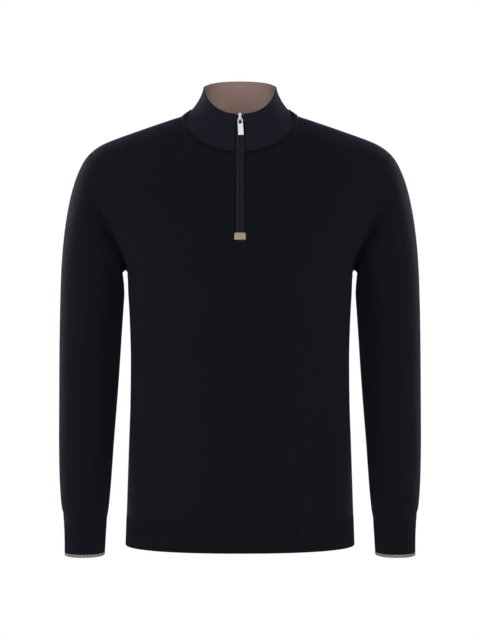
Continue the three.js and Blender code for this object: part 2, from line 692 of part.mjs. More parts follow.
function pullGeometry() {
  const bendFrom = -pull.shoulderDrop * pull.shoulderBend;
  const outline = new THREE.Shape();
  outline.moveTo(-pull.footHalfWidth + pull.corner, pull.foot);
  outline.lineTo(pull.footHalfWidth - pull.corner, pull.foot);
  outline.quadraticCurveTo(pull.footHalfWidth, pull.foot, pull.footHalfWidth, pull.foot + pull.corner);
  outline.lineTo(pull.topHalfWidth, -pull.shoulderDrop);
  outline.quadraticCurveTo(
    pull.topHalfWidth, bendFrom, pull.crownHalfWidth, pull.barRadius);
  outline.lineTo(-pull.crownHalfWidth, pull.barRadius);
  outline.quadraticCurveTo(
    -pull.topHalfWidth, bendFrom, -pull.topHalfWidth, -pull.shoulderDrop);
  outline.lineTo(-pull.footHalfWidth, pull.foot + pull.corner);
  outline.quadraticCurveTo(-pull.footHalfWidth, pull.foot, -pull.footHalfWidth + pull.corner, pull.foot);
  const window = new THREE.Path();
  window.moveTo(-pull.windowHalfWidth, -pull.barRadius);
  window.lineTo(pull.windowHalfWidth, -pull.barRadius);
  window.lineTo(pull.windowHalfWidth, pull.windowFoot);
  window.lineTo(-pull.windowHalfWidth, pull.windowFoot);
  window.closePath();
  outline.holes.push(window);
  return new THREE.ExtrudeGeometry(outline, {
    depth: pull.barRadius * 2, bevelEnabled: false, curveSegments: 3,
  }).translate(0, 0, -pull.barRadius).rotateZ(toRadians(pull.tilt));
}

// Surfaces of the wearer's left half, then of the whole garment.
const frontHalf = torsoHalf('front');
const backHalf = torsoHalf('back');
const yoke = yokeHalf(frontHalf.at(-1), backHalf.at(-1));
const widen = (rows, shareMiddle) => rows.map((row) => [
  ...row.slice(shareMiddle ? 1 : 0).reverse().map(mirrored),
  ...row,
]);
const frontRows = widen(frontHalf, false);
const backRows = widen(backHalf, true);
const seamRows = frontHalf.slice(lowerRows);
const armholeSeam = [
  ...seamRows.slice(0, -1).map((row) => row.at(-1)),
  ...yoke.slice(0, -1).map((row) => row.at(-1)),
  ...backHalf.slice(lowerRows + 1).map((row) => row.at(-1)).reverse(),
];
const halfNeckSeam = [
  ...frontHalf.at(-1).slice(0, neckColumns),
  ...yoke.map((row) => row[0]),
  ...backHalf.at(-1).slice(0, neckColumns).reverse(),
];
const neckSeam = [...halfNeckSeam, ...halfNeckSeam.slice(0, -1).reverse().map(mirrored)];
const sleeve = sleeveSurface(armholeSeam);
const collar = collarSurface(neckSeam);
const mirrorRows = (rows) => rows.map((row) => row.map(mirrored));

// A place inside each panel, so that its cloth's directions point away from it.
const bodyMiddle = (z) => point(0, 0, Math.min(z, armpitZ));
const yokeMiddle = (sign) => () => point(sign * shoulderInside.x, 0, shoulderInside.z);
const sleeveMiddle = (sign) => (z) => {
  const x = ringAt.x(z) - (z > bicepsZ ? capInset : 0);
  return point(sign * x, ringAt.y(z), Math.min(z, bicepsZ));
};
const neckMiddle = (z) => point(0, 0, z);
const directions = directionsOf([
  { rows: frontRows, middle: bodyMiddle },
  { rows: backRows, middle: bodyMiddle },
  { rows: yoke, middle: yokeMiddle(1) },
  { rows: mirrorRows(yoke), middle: yokeMiddle(-1) },
  { rows: sleeve, wrap: true, middle: sleeveMiddle(1) },
  { rows: mirrorRows(sleeve), wrap: true, middle: sleeveMiddle(-1) },
  { rows: collar, middle: neckMiddle },
]);
mitreArmhole(directions, armholeSeam, false);
mitreArmhole(directions, armholeSeam, true);
const directionAt = (p) => directions.get(keyOf(p));

// Zip rows: the front's rows from the slot's foot up, then the collar's rows, as edge and next column.
const slotFootRow = lowerRows + rowsUnderSlot;
const slotEdge = (row) => ({ edge: row[0], next: row[1] });
const between = (a, b, t) => ({
  p: a.clone().lerp(b, t),
  out: directionAt(a).clone().lerp(directionAt(b), t).normalize(),
});
const withDirection = (p) => ({ p, out: directionAt(p) });
function zipRow({ edge, next }) {
  const onto = (tapeHalfWidth - edge.x) / (next.x - edge.x);
  const outside = between(edge, next, onto);
  const inside = withDirection(edge);
  const middle = {
    p: point(seamGap / 2, edge.y, edge.z),
    out: point(0, inside.out.y, inside.out.z).normalize(),
  };
  return [middle, inside, outside];
}
function zipRows() {
  const rows = frontHalf.slice(slotFootRow).map(slotEdge).map(zipRow);
  const underFoot = zipRow(slotEdge(frontHalf[slotFootRow - 1]));
  const foot = rows[0].map((spot, i) => ({
    p: underFoot[i].p.clone().lerp(spot.p, tapeFootShare),
    out: underFoot[i].out.clone().lerp(spot.out, tapeFootShare).normalize(),
  }));
  const inCollar = collar.slice(1).map(slotEdge).map(zipRow);
  const below = inCollar.at(-2);
  const trimmed = inCollar.at(-1).map((spot, i) => {
    const share = 1 - tapeTrim / spot.p.distanceTo(below[i].p);
    return { p: below[i].p.clone().lerp(spot.p, share), out: spot.out };
  });
  return [foot, ...rows, ...inCollar.slice(0, -1), trimmed];
}
function spotWall(spots, from, to, options = {}) {
  const lookup = new Map(spots.flat().map(({ p, out }) => [p, out]));
  return clothWall(spots.map((row) => row.map(({ p }) => p)), (p) => lookup.get(p), { from, to, ...options });
}
const mirrorSpots = (rows) => rows.map((row) =>
  row.map(({ p, out }) => ({ p: mirrored(p), out: mirrored(out) })));

// The patch is a flat plate that lies on the front over the slot's foot.
function patchPlate() {
  const [foot, top] = [zipPatch.bottomZ, zipPatch.topZ].map((z) => torsoPoint(0, z, 'front'));
  const length = foot.distanceTo(top);
  const lean = Math.atan2(top.y - foot.y, top.z - foot.z);
  const plate = block(
    [-zipPatch.halfWidth, zipPatch.halfWidth],
    [-zipPatch.gap - zipPatch.thickness, -zipPatch.gap],
    [-length / 2, length / 2],
  );
  const middle = foot.clone().lerp(top, 0.5);
  return plate.rotateX(-lean).translate(0, middle.y, middle.z);
}

// The facing lines the collar between the two tapes, and stops short of the neck seam.
function facingSpots() {
  const fromEdge = tapeHalfWidth + seamGap + facingInset.fromTape;
  const spots = collar.map((row) => {
    const ends = [[row[0], row[1]], [row.at(-1), row.at(-2)]].map(([edge, next]) =>
      between(edge, next, (fromEdge - Math.abs(edge.x)) / (Math.abs(next.x) - Math.abs(edge.x))));
    return [ends[0], ...row.slice(1, -1).map(withDirection), ends[1]];
  });
  const lowest = spots[0].map((spot, i) => ({
    p: spot.p.clone().lerp(spots[1][i].p, facingInset.neckShare),
    out: spot.out.clone().lerp(spots[1][i].out, facingInset.neckShare).normalize(),
  }));
  return [lowest, ...spots.slice(1)];
}

const navyKnit = { color: 0x15161c, roughness: 0.95, metalness: 0 };
const collarKnit = { color: 0x1e1f2a, roughness: 0.95, metalness: 0 };
const yokeKnit = { color: 0x1c1c22, roughness: 0.9, metalness: 0 };
const taupeKnit = { color: 0x7a6a61, roughness: 0.95, metalness: 0 };
const tippingKnit = { color: 0xa7a4a0, roughness: 0.95, metalness: 0 };
const zipTapeWeave = { color: 0x25252d, roughness: 0.7, metalness: 0 };
const patchWeave = { color: 0xb5a793, roughness: 0.85, metalness: 0 };
const satinSteel = { color: 0xc8cacd, roughness: 0.3, metalness: 1 };

const sweater = new THREE.Group();
function add(name, geometry, material, parent = sweater) {
  const mesh = new THREE.Mesh(geometry, new THREE.MeshStandardMaterial(material));
  mesh.name = name;
  parent.add(mesh);
  return mesh;
}

const slotColumn = frontHalf[0].length - 1;
add('front', clothWall(frontRows, directionAt, {
  seams: ['bottom', 'top', 'first', 'last'],
  keep: (j, i) => j < slotFootRow || i !== slotColumn,
}), navyKnit);
add('back', clothWall(backRows, directionAt, { seams: ['bottom', 'top', 'first', 'last'] }), navyKnit);

for (const [side, mirror] of [['left', false], ['right', true]]) {
  const turned = (rows) => (mirror ? mirrorRows(rows) : rows);
  add(`yoke_${side}`, clothWall(turned(yoke), directionAt, {
    seams: ['bottom', 'top', 'first', 'last'],
  }), yokeKnit);
  add(`sleeve_${side}`, clothWall(turned(sleeve), directionAt, {
    seams: ['bottom', 'top'], wrap: true,
  }), navyKnit);
  const cuffRibs = Math.round(evenly(cuffCurve(mirror)(cuffBottomZ), 1).total / ribPitch);
  const ribbing = { closed: true, ribs: cuffRibs, innerCells: cuffRibs / 2 };
  add(`cuff_${side}`, ribbedBand(cuffCurve(mirror), [
    cuffTippingZ + seamGap / 2, cuffMiddleZ, cuffTopZ - seamGap / 2,
  ], ribbing), navyKnit);
  add(`cuff_tipping_${side}`, ribbedBand(cuffCurve(mirror), [
    cuffBottomZ, cuffTippingZ - seamGap / 2,
  ], ribbing), tippingKnit);
}

for (const side of ['front', 'back']) {
  const hemRibs = Math.round(evenly(hemCurve(side)(hemBottomZ), 1).total / ribPitch);
  add(`hem_rib_${side}`, ribbedBand(hemCurve(side), [
    hemBottomZ, hemTopZ - seamGap / 2,
  ], { closed: false, ribs: hemRibs, innerCells: hemInnerCells }), navyKnit);
}

add('collar', clothWall(collar, directionAt, { seams: ['bottom'], sewnGap: collarSewnGap }), collarKnit);
add('collar_facing', spotWall(
  facingSpots(),
  clothThickness + seamGap,
  clothThickness + seamGap + facingThickness,
), taupeKnit);

const tapeRows = zipRows();
const tapeFront = clothThickness + seamGap;
add('zip_tape_left', spotWall(tapeRows, tapeFront, tapeFront + tapeThickness), zipTapeWeave);
add('zip_tape_right', spotWall(mirrorSpots(tapeRows), tapeFront, tapeFront + tapeThickness), zipTapeWeave);
add('zip_patch', patchPlate(), patchWeave);

// The slider sits at the top of the slot, tilted as the collar's front is.
const [lowSpot, highSpot] = [collar.at(-3)[0], collar.at(-1)[0]];
const lean = Math.atan2(highSpot.y - lowSpot.y, highSpot.z - lowSpot.z);
const seatShare = (slider.axisZ - lowSpot.z) / (highSpot.z - lowSpot.z);
const sliderSeat = new THREE.Group();
sliderSeat.position.set(0, lerp(lowSpot.y, highSpot.y, seatShare), slider.axisZ);
sliderSeat.rotation.x = Math.PI / 2 - lean;
sweater.add(sliderSeat);
add('zip_slider', sliderGeometry(), satinSteel, sliderSeat);
const pullTab = add('zip_pull', pullGeometry(), satinSteel, sliderSeat);
pullTab.position.z = pull.axisOut;

export default sweater;
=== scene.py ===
import math
import bmesh
import bpy
import numpy as np
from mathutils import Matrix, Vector


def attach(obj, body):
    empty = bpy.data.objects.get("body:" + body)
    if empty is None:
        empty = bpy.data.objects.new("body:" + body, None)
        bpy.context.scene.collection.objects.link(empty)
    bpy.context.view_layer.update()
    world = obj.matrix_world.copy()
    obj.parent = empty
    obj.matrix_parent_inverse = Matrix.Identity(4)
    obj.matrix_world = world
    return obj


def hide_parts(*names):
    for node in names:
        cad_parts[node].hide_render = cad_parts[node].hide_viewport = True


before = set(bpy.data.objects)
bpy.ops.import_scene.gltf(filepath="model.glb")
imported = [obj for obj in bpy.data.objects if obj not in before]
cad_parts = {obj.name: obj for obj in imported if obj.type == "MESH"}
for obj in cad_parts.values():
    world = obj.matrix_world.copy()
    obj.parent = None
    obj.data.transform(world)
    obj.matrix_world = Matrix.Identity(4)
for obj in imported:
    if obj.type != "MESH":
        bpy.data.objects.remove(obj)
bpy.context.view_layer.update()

mm = 0.001
scene = bpy.context.scene


# camera: level, on the middle, far enough back that the hem shows as a shallow curve

camera = {"distance": 2.6, "height": -0.326, "lens": 89.7, "sensor": 36.0}

camData = bpy.data.cameras.new("camera")
camData.lens = camera["lens"]
camData.sensor_width = camera["sensor"]
camData.clip_end = 20
camObject = bpy.data.objects.new("camera", camData)
camObject.location = (0, -camera["distance"], camera["height"])
camObject.rotation_euler = (math.radians(90), 0, 0)
scene.collection.objects.link(camObject)
scene.camera = camObject
scene.view_settings.view_transform = "Standard"
scene.view_settings.look = "None"


# light: big side boxes that catch the sleeves' outer edges, a soft front fill, white behind

rimColour = (0.68, 0.82, 1.0)
lights = [
    {"name": "keyLeft", "at": (-2.3, -1.5, 0.45), "aim": (-0.1, 0, -0.35), "size": (0.9, 1.4), "power": 36},
    {"name": "keyRight", "at": (2.3, -1.5, 0.45), "aim": (0.1, 0, -0.35), "size": (0.9, 1.4), "power": 30},
    {"name": "rimLeft", "at": (-2.1, 0.2, -0.35), "aim": (-0.25, 0, -0.38), "size": (0.7, 1.4), "power": 15,
     "colour": rimColour},
    {"name": "rimRight", "at": (2.1, 0.2, -0.35), "aim": (0.25, 0, -0.38), "size": (0.7, 1.4), "power": 10,
     "colour": rimColour},
    {"name": "front", "at": (0.0, -3.2, 1.0), "aim": (0, 0, -0.3), "size": (1.8, 1.4), "power": 126},
    {"name": "backLeft", "at": (-2.0, 2.3, 0.8), "aim": (0, 0, -0.35), "size": (1.2, 1.4), "power": 95},
    {"name": "backRight", "at": (2.0, 2.3, 0.8), "aim": (0, 0, -0.35), "size": (1.2, 1.4), "power": 82},
]
for box in lights:
    areaLight = bpy.data.lights.new(box["name"], "AREA")
    areaLight.shape = "RECTANGLE"
    areaLight.size, areaLight.size_y = box["size"]
    areaLight.energy = box["power"]
    areaLight.color = box.get("colour", (1.0, 1.0, 1.0))
    lamp = bpy.data.objects.new(box["name"], areaLight)
    lamp.location = box["at"]
    lamp.rotation_euler = (Vector(box["aim"]) - Vector(box["at"])).to_track_quat("-Z", "Y").to_euler()
    scene.collection.objects.link(lamp)

# the camera sees white, and the garment is lit by a faint cool grey
studio = {"seen": (1, 1, 1, 1), "lit": (0.93, 0.96, 1.0, 1), "litStrength": 0.085}
world = bpy.data.worlds.new("studio")
scene.world = world
world.use_nodes = True
worldTree = world.node_tree
worldTree.nodes.clear()
seen = worldTree.nodes.new("ShaderNodeBackground")
seen.inputs["Color"].default_value = studio["seen"]
seen.inputs["Strength"].default_value = 1.0
lit = worldTree.nodes.new("ShaderNodeBackground")
lit.inputs["Color"].default_value = studio["lit"]
lit.inputs["Strength"].default_value = studio["litStrength"]
rayKind = worldTree.nodes.new("ShaderNodeLightPath")
pick = worldTree.nodes.new("ShaderNodeMixShader")
worldOut = worldTree.nodes.new("ShaderNodeOutputWorld")
worldTree.links.new(rayKind.outputs["Is Camera Ray"], pick.inputs[0])
worldTree.links.new(lit.outputs[0], pick.inputs[1])
worldTree.links.new(seen.outputs[0], pick.inputs[2])
worldTree.links.new(pick.outputs[0], worldOut.inputs[0])

# pale floor, below what the camera takes in
floor = {"z": -1.15, "x": 1.7, "front": -1.6, "back": 1.3}
floorCorners = [
    (-floor["x"], floor["front"], floor["z"]), (floor["x"], floor["front"], floor["z"]),
    (floor["x"], floor["back"], floor["z"]), (-floor["x"], floor["back"], floor["z"]),
]
floorMesh = bpy.data.meshes.new("floor")
floorMesh.from_pydata(floorCorners, [], [(0, 1, 2, 3)])
floorObject = bpy.data.objects.new("floor", floorMesh)
scene.collection.objects.link(floorObject)
print("camera and light done")


# materials

def srgb(*levels):
    shares = [level / 255 for level in levels]
    return tuple(((c + 0.055) / 1.055) ** 2.4 if c > 0.04045 else c / 12.92 for c in shares) + (1.0,)


def shaded(colour, share):
    return tuple(min(1.0, c * share) for c in colour[:3]) + (1.0,)


class Shader:
    # a material's node tree with short calls for the maths between sockets
    def __init__(self, name):
        self.material = bpy.data.materials.new(name)
        self.material.use_nodes = True
        self.tree = self.material.node_tree
        self.surface = self.tree.nodes["Principled BSDF"]

    def node(self, kind, **settings):
        made = self.tree.nodes.new(kind)
        for key, value in settings.items():
            setattr(made, key, value)
        return made

    def put(self, socket, value):
        if isinstance(value, bpy.types.NodeSocket):
            self.tree.links.new(value, socket)
        else:
            socket.default_value = value

    def math(self, operation, *values):
        made = self.node("ShaderNodeMath", operation=operation)
        for socket, value in zip(made.inputs, values):
            self.put(socket, value)
        return made.outputs[0]

    def mix(self, share, first, second):
        made = self.node("ShaderNodeMix", data_type="RGBA")
        self.put(made.inputs["Factor"], share)
        self.put(made.inputs[6], first)
        self.put(made.inputs[7], second)
        return made.outputs[2]

    def ramp(self, value, low, high, toLow=0.0, toHigh=1.0):
        made = self.node("ShaderNodeMapRange")
        for key, given in (("Value", value), ("From Min", low), ("From Max", high),
                           ("To Min", toLow), ("To Max", toHigh)):
            self.put(made.inputs[key], given)
        return made.outputs[0]

    def noise(self, scale, detail=3.0, roughness=0.55, stretch=None):
        where = self.node("ShaderNodeTexCoord").outputs["Object"]
        if stretch:
            squeeze = self.node("ShaderNodeMapping")
            squeeze.inputs["Scale"].default_value = stretch
            self.tree.links.new(where, squeeze.inputs["Vector"])
            where = squeeze.outputs[0]
        made = self.node("ShaderNodeTexNoise")
        self.tree.links.new(where, made.inputs["Vector"])
        made.inputs["Scale"].default_value = scale
        made.inputs["Detail"].default_value = detail
        made.inputs["Roughness"].default_value = roughness
        return made.outputs["Fac"]

    def clothUv(self):
        made = self.node("ShaderNodeUVMap", uv_map="cloth")
        parts = self.node("ShaderNodeSeparateXYZ")
        self.tree.links.new(made.outputs[0], parts.inputs[0])
        return parts.outputs[0], parts.outputs[1]

    def bump(self, height, distance, strength=1.0):
        made = self.node("ShaderNodeBump")
        made.inputs["Distance"].default_value = distance
        made.inputs["Strength"].default_value = strength
        self.tree.links.new(height, made.inputs["Height"])
        self.tree.links.new(made.outputs[0], self.surface.inputs["Normal"])

    def rounded(self, share):
        # 0 at both ends of the share and 1 in its middle
        centred = self.math("MULTIPLY", self.math("SUBTRACT", share, 0.5), 2.0)
        return self.math("SUBTRACT", 1.0, self.math("MULTIPLY", centred, centred))

    def clothColour(self, tone, groove):
        # painted shade: where the mesh's painted shade attribute is set, the cloth turns darker than its
        # grooves
        pressed = self.node("ShaderNodeAttribute", attribute_name="pressed").outputs["Fac"]
        self.put(self.surface.inputs["Base Color"], self.mix(pressed, tone, shaded(groove, pressedShade)))


# what knit, weave and metal look like; a noise is its scale, detail and roughness
# how dark the painted shade gets, as a share of the groove colour
pressedShade = 0.3
knitLook = {
    "slant": 0.8, "loopShare": 0.65, "fuzz": (2600.0, 2.0, 0.7), "fuzzDepth": 0.35,
    "yarn": (420.0, 4.0, 0.65), "yarnLift": 2.4, "patchy": (9.0, 3.0, 0.5), "patchyShare": 0.12,
    "noiseSpan": (0.3, 0.7), "grooveShare": 0.45, "roughness": (0.82, 1.0),
    "sheenRoughness": 0.45, "sheenTint": (0.45, 0.55, 1.0, 1.0),
}
weaveLook = {
    "fibre": (1800.0, 2.0), "fibreDepth": 0.6, "topShare": 0.55, "faded": 260.0, "fadedSpan": (0.35, 0.65),
    "fadedShare": 0.35, "roughnessLow": 0.1, "roughnessHigh": -0.08,
}
metalLook = {
    "brushed": (900.0, 3.0, 0.6), "stretch": (1.0, 1.0, 0.06), "brushedSpan": (0.2, 0.8),
    "roughnessLow": -0.06, "roughnessHigh": 0.12, "brushedDepth": 0.04 * mm, "brushedStrength": 0.5,
    "worn": (160.0, 4.0, 0.6), "wornSpan": (0.45, 0.75), "wornShare": 0.3, "wornShade": 0.72,
}


def knit(name, colour, groove, wale, course, depth, sheen=0.025, heather=0.18, gloss=0.06):
    # jersey: each wale is a column of V stitches, two slanting legs side by side
    s = Shader(name)
    u, v = s.clothUv()
    column = s.math("FRACT", s.math("DIVIDE", u, wale * mm))
    across = s.math("MULTIPLY", s.math("ABSOLUTE", s.math("SUBTRACT", column, 0.5)), 2.0)
    slant = s.math("ADD", s.math("DIVIDE", v, course * mm), s.math("MULTIPLY", across, knitLook["slant"]))
    loops = s.math("MULTIPLY", s.rounded(s.math("FRACT", slant)), knitLook["loopShare"])
    stitch = s.math("MULTIPLY", s.rounded(across), s.math("ADD", loops, 1 - knitLook["loopShare"]))
    fuzz = s.noise(*knitLook["fuzz"])
    height = s.math("ADD", stitch, s.math("MULTIPLY", fuzz, knitLook["fuzzDepth"]))
    yarn, patchy = (s.ramp(s.noise(*knitLook[key]), *knitLook["noiseSpan"]) for key in ("yarn", "patchy"))
    tone = s.mix(s.math("MULTIPLY", yarn, heather), colour, shaded(colour, knitLook["yarnLift"]))
    tone = s.mix(s.math("MULTIPLY", patchy, knitLook["patchyShare"]), tone, groove)
    # the grooves between the stitches' legs are painted darker, as painted shade
    grooves = s.math("MULTIPLY", s.math("SUBTRACT", 1.0, stitch), knitLook["grooveShare"])
    s.clothColour(s.mix(grooves, tone, groove), groove)
    s.put(s.surface.inputs["Roughness"], s.ramp(fuzz, 0.0, 1.0, *knitLook["roughness"]))
    s.surface.inputs["Specular IOR Level"].default_value = gloss
    s.surface.inputs["Sheen Weight"].default_value = sheen
    s.surface.inputs["Sheen Roughness"].default_value = knitLook["sheenRoughness"]
    s.surface.inputs["Sheen Tint"].default_value = knitLook["sheenTint"]
    s.bump(height, depth * mm)
    return s.material


def weave(name, colour, groove, pitch, depth, roughness=0.75, sheen=0.04, gloss=0.2):
    # plain woven tape, over and under in both directions
    s = Shader(name)
    warp, weft = (s.math("SINE", s.math("MULTIPLY", way, 2 * math.pi / (pitch * mm))) for way in s.clothUv())
    over = s.math("MULTIPLY", warp, weft)
    height = s.math("ADD", over, s.math("MULTIPLY", s.noise(*weaveLook["fibre"]), weaveLook["fibreDepth"]))
    # the threads are painted darker where they pass under, as painted shade
    tone = s.mix(s.ramp(over, -1.0, 1.0, 0.0, weaveLook["topShare"]), groove, colour)
    faded = s.ramp(s.noise(weaveLook["faded"]), *weaveLook["fadedSpan"], 0.0, weaveLook["fadedShare"])
    s.clothColour(s.mix(faded, tone, colour), groove)
    s.put(s.surface.inputs["Roughness"], s.ramp(
        over, -1.0, 1.0, roughness + weaveLook["roughnessLow"], roughness + weaveLook["roughnessHigh"]))
    s.surface.inputs["Specular IOR Level"].default_value = gloss
    s.surface.inputs["Sheen Weight"].default_value = sheen
    s.bump(height, depth * mm)
    return s.material


def satinMetal(name, colour, roughness):
    s = Shader(name)
    brushed = s.noise(*metalLook["brushed"], stretch=metalLook["stretch"])
    worn = s.ramp(s.noise(*metalLook["worn"]), *metalLook["wornSpan"])
    wornShare = s.math("MULTIPLY", worn, metalLook["wornShare"])
    s.put(s.surface.inputs["Base Color"], s.mix(wornShare, colour, shaded(colour, metalLook["wornShade"])))
    s.put(s.surface.inputs["Roughness"], s.ramp(
        brushed, *metalLook["brushedSpan"],
        roughness + metalLook["roughnessLow"], roughness + metalLook["roughnessHigh"]))
    s.surface.inputs["Metallic"].default_value = 1.0
    s.bump(brushed, metalLook["brushedDepth"], metalLook["brushedStrength"])
    return s.material


# knits: colour, groove, then a stitch's width, its height and the relief in millimetres
navyKnit = knit("navyKnit", srgb(9.6, 10.4, 14.2), srgb(5, 5, 7), 1.7, 1.25, 0.22)
navyRib = knit("navyRib", srgb(9.6, 10.4, 14.2), srgb(4, 4, 6), 1.0, 1.25, 0.2)
collarKnit = knit("collarKnit", srgb(17, 17, 24), srgb(8, 8, 12), 1.5, 1.15, 0.2)
yokeKnit = knit("yokeKnit", srgb(11.4, 10.8, 14.8), srgb(5.5, 5.5, 7.5), 1.5, 1.1, 0.16, sheen=0.04)
taupeKnit = knit("taupeKnit", srgb(120, 101, 94), srgb(78, 64, 58), 1.5, 1.15, 0.2)
edgeKnit = knit("edgeKnit", srgb(43, 26, 27), srgb(22, 13, 13), 0.8, 1.1, 0.12)
tippingKnit = knit("tippingKnit", srgb(112, 110, 108), srgb(58, 56, 55), 1.0, 1.2, 0.2)
# woven: colour, groove, then the weave's pitch and relief
zipWeave = weave("zipWeave", srgb(29, 30, 39), srgb(13, 13, 19), 0.7, 0.1, gloss=0.1)
patchWeave = weave("patchWeave", srgb(158, 147, 131), srgb(104, 92, 78), 0.8, 0.12, 0.85)
darkThread = weave("darkThread", srgb(13, 13, 18), srgb(6, 6, 9), 0.4, 0.05, gloss=0.1)
coilNylon = weave("coilNylon", srgb(6, 6, 10), srgb(4, 4, 6), 1.0, 0.02, 0.6, gloss=0.06)
satinSteel = satinMetal("satinSteel", (0.17, 0.173, 0.175, 1.0), 0.36)
darkSteel = satinMetal("darkSteel", (0.03, 0.03, 0.034, 1.0), 0.4)
floorPaint = knit("floorPaint", srgb(225, 226, 228), srgb(205, 206, 208), 40, 40, 0.01, sheen=0.0)
floorMesh.materials.append(floorPaint)
print("materials done")


# the garment's surfaces, worked out from the same sizes as the solids, in millimetres

torsoLevels = np.array([
    # z, halfWidth, front, back
    (-690, 186.0, 113.0, 104.0), (-640, 184.3, 112.0, 101.5), (-587, 182.6, 110.5, 97.0),
    (-521, 180.4, 110.0, 93.0), (-456, 178.3, 111.0, 91.5), (-391, 177.7, 114.0, 94.0),
    (-326, 179.3, 117.0, 100.0), (-293, 180.9, 118.0, 104.0), (-262, 183.0, 118.5, 106.5),
    (-250, 185.6, 118.0, 107.0), (-190, 185.6, 113.5, 108.0), (-120, 185.6, 98.0, 103.0),
    (-80, 185.6, 84.0, 96.0), (-58, 185.6, 75.5, 92.0), (-35, 185.6, 64.0, 88.0),
    (-17, 185.6, 56.0, 85.0), (14, 185.6, 45.0, 80.0),
])
sectionPower = {"waist": 2.3, "chest": 2.75, "waistZ": -380, "chestZ": -245}
armpitZ, hemTopZ, hemBottomZ = -250.0, -640.0, -690.0
shoulderTop = np.array([
    # x, z
    (0, 62.0), (46, 45.0), (65, 30.0), (80, 18.0), (92, 7.4), (113, 0.0), (156, -14.7),
    (188, -26.1), (214, -35.9), (233, -45.6), (240.5, -51.5),
])
shoulderRounding = 110.0
armhole = {
    "middleZ": -150.5, "halfHeight": 99.5, "front": 63.0, "back": 61.0, "yokeAngle": 33.4,
    "mitreBelow": 0.5, "mitreSpan": 1.1,
}
armholeLine = np.array([
    # z, x
    (-250, 185.6), (-222, 193.5), (-192, 206.5), (-163, 219.5), (-130, 230.5), (-98, 235.0),
    (-67.4, 237.6), (-51, 240.5),
])
neck = {
    "halfWidth": 92.0, "shoulderZ": 7.4, "frontDrop": 65.9, "dropPower": 1.05, "backRise": 6.6,
    "risePower": 2.0, "edgeAngle": 22.0, "slotFootAngle": 1.2,
}
neckYoke = {"front": 66.0, "back": 48.0}
collarTop = {
    "halfWidth": 59.5, "front": -62.0, "back": 56.0, "sideZ": 53.0, "frontDrop": 51.0, "backRise": 17.5,
    "dropPower": 1.15, "risePower": 1.0, "power": 2.35,
}
# how steeply the collar leaves the neck seam and reaches its top, in degrees, and how far it keeps on
collarSweep = {
    "frontDepth": 75.5, "backDepth": 66.0, "frontRise": 78.0, "backRise": 58.0, "sideRise": 20.0,
    "frontTopRise": 78.0, "backTopRise": 82.0, "leaving": 0.9, "leavingAtSide": 0.75, "arriving": 0.9,
}
yokeSeam = np.array([
    # x, front, back: the seams' drop below the shoulder's top
    (68, 34.0, 19.0), (84, 32.0, 20.0), (100, 27.5, 21.0), (132, 26.0, 22.5), (172, 25.5, 24.0),
    (201, 23.0, 22.5), (229, 20.0, 20.0), (237.6, 18.4, 18.4),
])
sleeveRings = np.array([
    # z, x, y, halfWidth, halfDepth
    (-262, 239.2, 0.0, 52.4, 66.0), (-305, 241.3, 2.0, 51.8, 63.6), (-350, 243.4, 4.0, 50.7, 61.2),
    (-395, 245.3, 5.0, 49.4, 58.8), (-440, 247.0, 4.5, 47.9, 56.4), (-485, 248.5, 0.5, 46.2, 53.6),
    (-530, 249.7, -6.5, 44.3, 50.4), (-575, 250.0, -16.0, 42.2, 47.2), (-610, 249.7, -24.5, 39.7, 44.4),
    (-632, 249.2, -30.0, 37.2, 41.9), (-649, 248.8, -34.0, 34.4, 39.3), (-668, 248.6, -37.5, 32.9, 38.0),
    (-702, 248.9, -43.0, 31.7, 36.8),
])
sleevePower = 2.05
bicepsZ = -262.0
# how the sleeve's top leaves the armhole and reaches the upper arm
cap = {
    "outward": 0.5, "outwardAtTop": 0.25, "forward": 0.18, "leaving": 0.72, "flare": 0.035, "arriving": 0.88,
}
# places inside the yokes and sleeves, which their cloth faces away from
innerPlace = {"yokeX": 120.0, "yokeZ": -200.0, "capInset": 40.0}
cuff = {"topZ": -649.0, "tippingZ": -697.4, "bottomZ": -701.5}
rib = {"pitch": 4.0, "relief": 0.7, "wall": 1.9, "steps": 8, "roundness": 0.6, "fadeIn": 6.0, "atSeam": 0.25}
slot = {"halfWidthTop": 6.8, "halfWidthNeck": 6.9, "halfWidthFoot": 7.5, "neckZ": -58.5, "footZ": -194.0}
clothThickness = 1.8
outwardY = {"front": -1.0, "back": 1.0}

grid = {
    "neck": 14, "shoulder": 26, "yoke": 18, "upper": 36, "upperPower": 0.75, "lower": 62, "cap": 20,
    "collar": 14,
}
seamShares = [0.12, 0.3, 0.6]


def sweep(t, start, leaving, end, arriving):
    # cubic from one place to another that leaves and arrives along the given directions
    return ((1 + 2 * t) * (1 - t) ** 2 * start + t * (1 - t) ** 2 * leaving
            + t * t * (3 - 2 * t) * end + t * t * (t - 1) * arriving)


def through(table, column):
    # smooth curve through a table's column with no overshoot between its rows
    rows = table[np.argsort(table[:, 0])]
    at, value = rows[:, 0], rows[:, column]
    step = np.diff(value) / np.diff(at)
    slope = np.concatenate(([step[0]], np.zeros(len(at) - 2), [step[-1]]))
    for i in range(1, len(at) - 1):
        if step[i - 1] * step[i] > 0:
            slope[i] = 2 * step[i - 1] * step[i] / (step[i - 1] + step[i])

    def curve(x):
        x = np.clip(x, at[0], at[-1])
        i = np.clip(np.searchsorted(at, x, side="right") - 1, 0, len(at) - 2)
        width = at[i + 1] - at[i]
        t = (x - at[i]) / width
        return sweep(t, value[i], width * slope[i], value[i + 1], width * slope[i + 1])
    return curve


sideAt = through(torsoLevels, 1)
depthAt = {"front": through(torsoLevels, 2), "back": through(torsoLevels, 3)}
shoulderZ = through(shoulderTop, 1)
armholeX = through(armholeLine, 1)
yokeDrop = {"front": through(yokeSeam, 1), "back": through(yokeSeam, 2)}
ringX, ringY, ringWidth, ringDepth = (through(sleeveRings, i) for i in (1, 2, 3, 4))


def signedPower(value, power):
    return np.sign(value) * np.abs(value) ** power


def smoothstep(x, low, high):
    t = np.clip((x - low) / (high - low), 0, 1)
    return t * t * (3 - 2 * t)


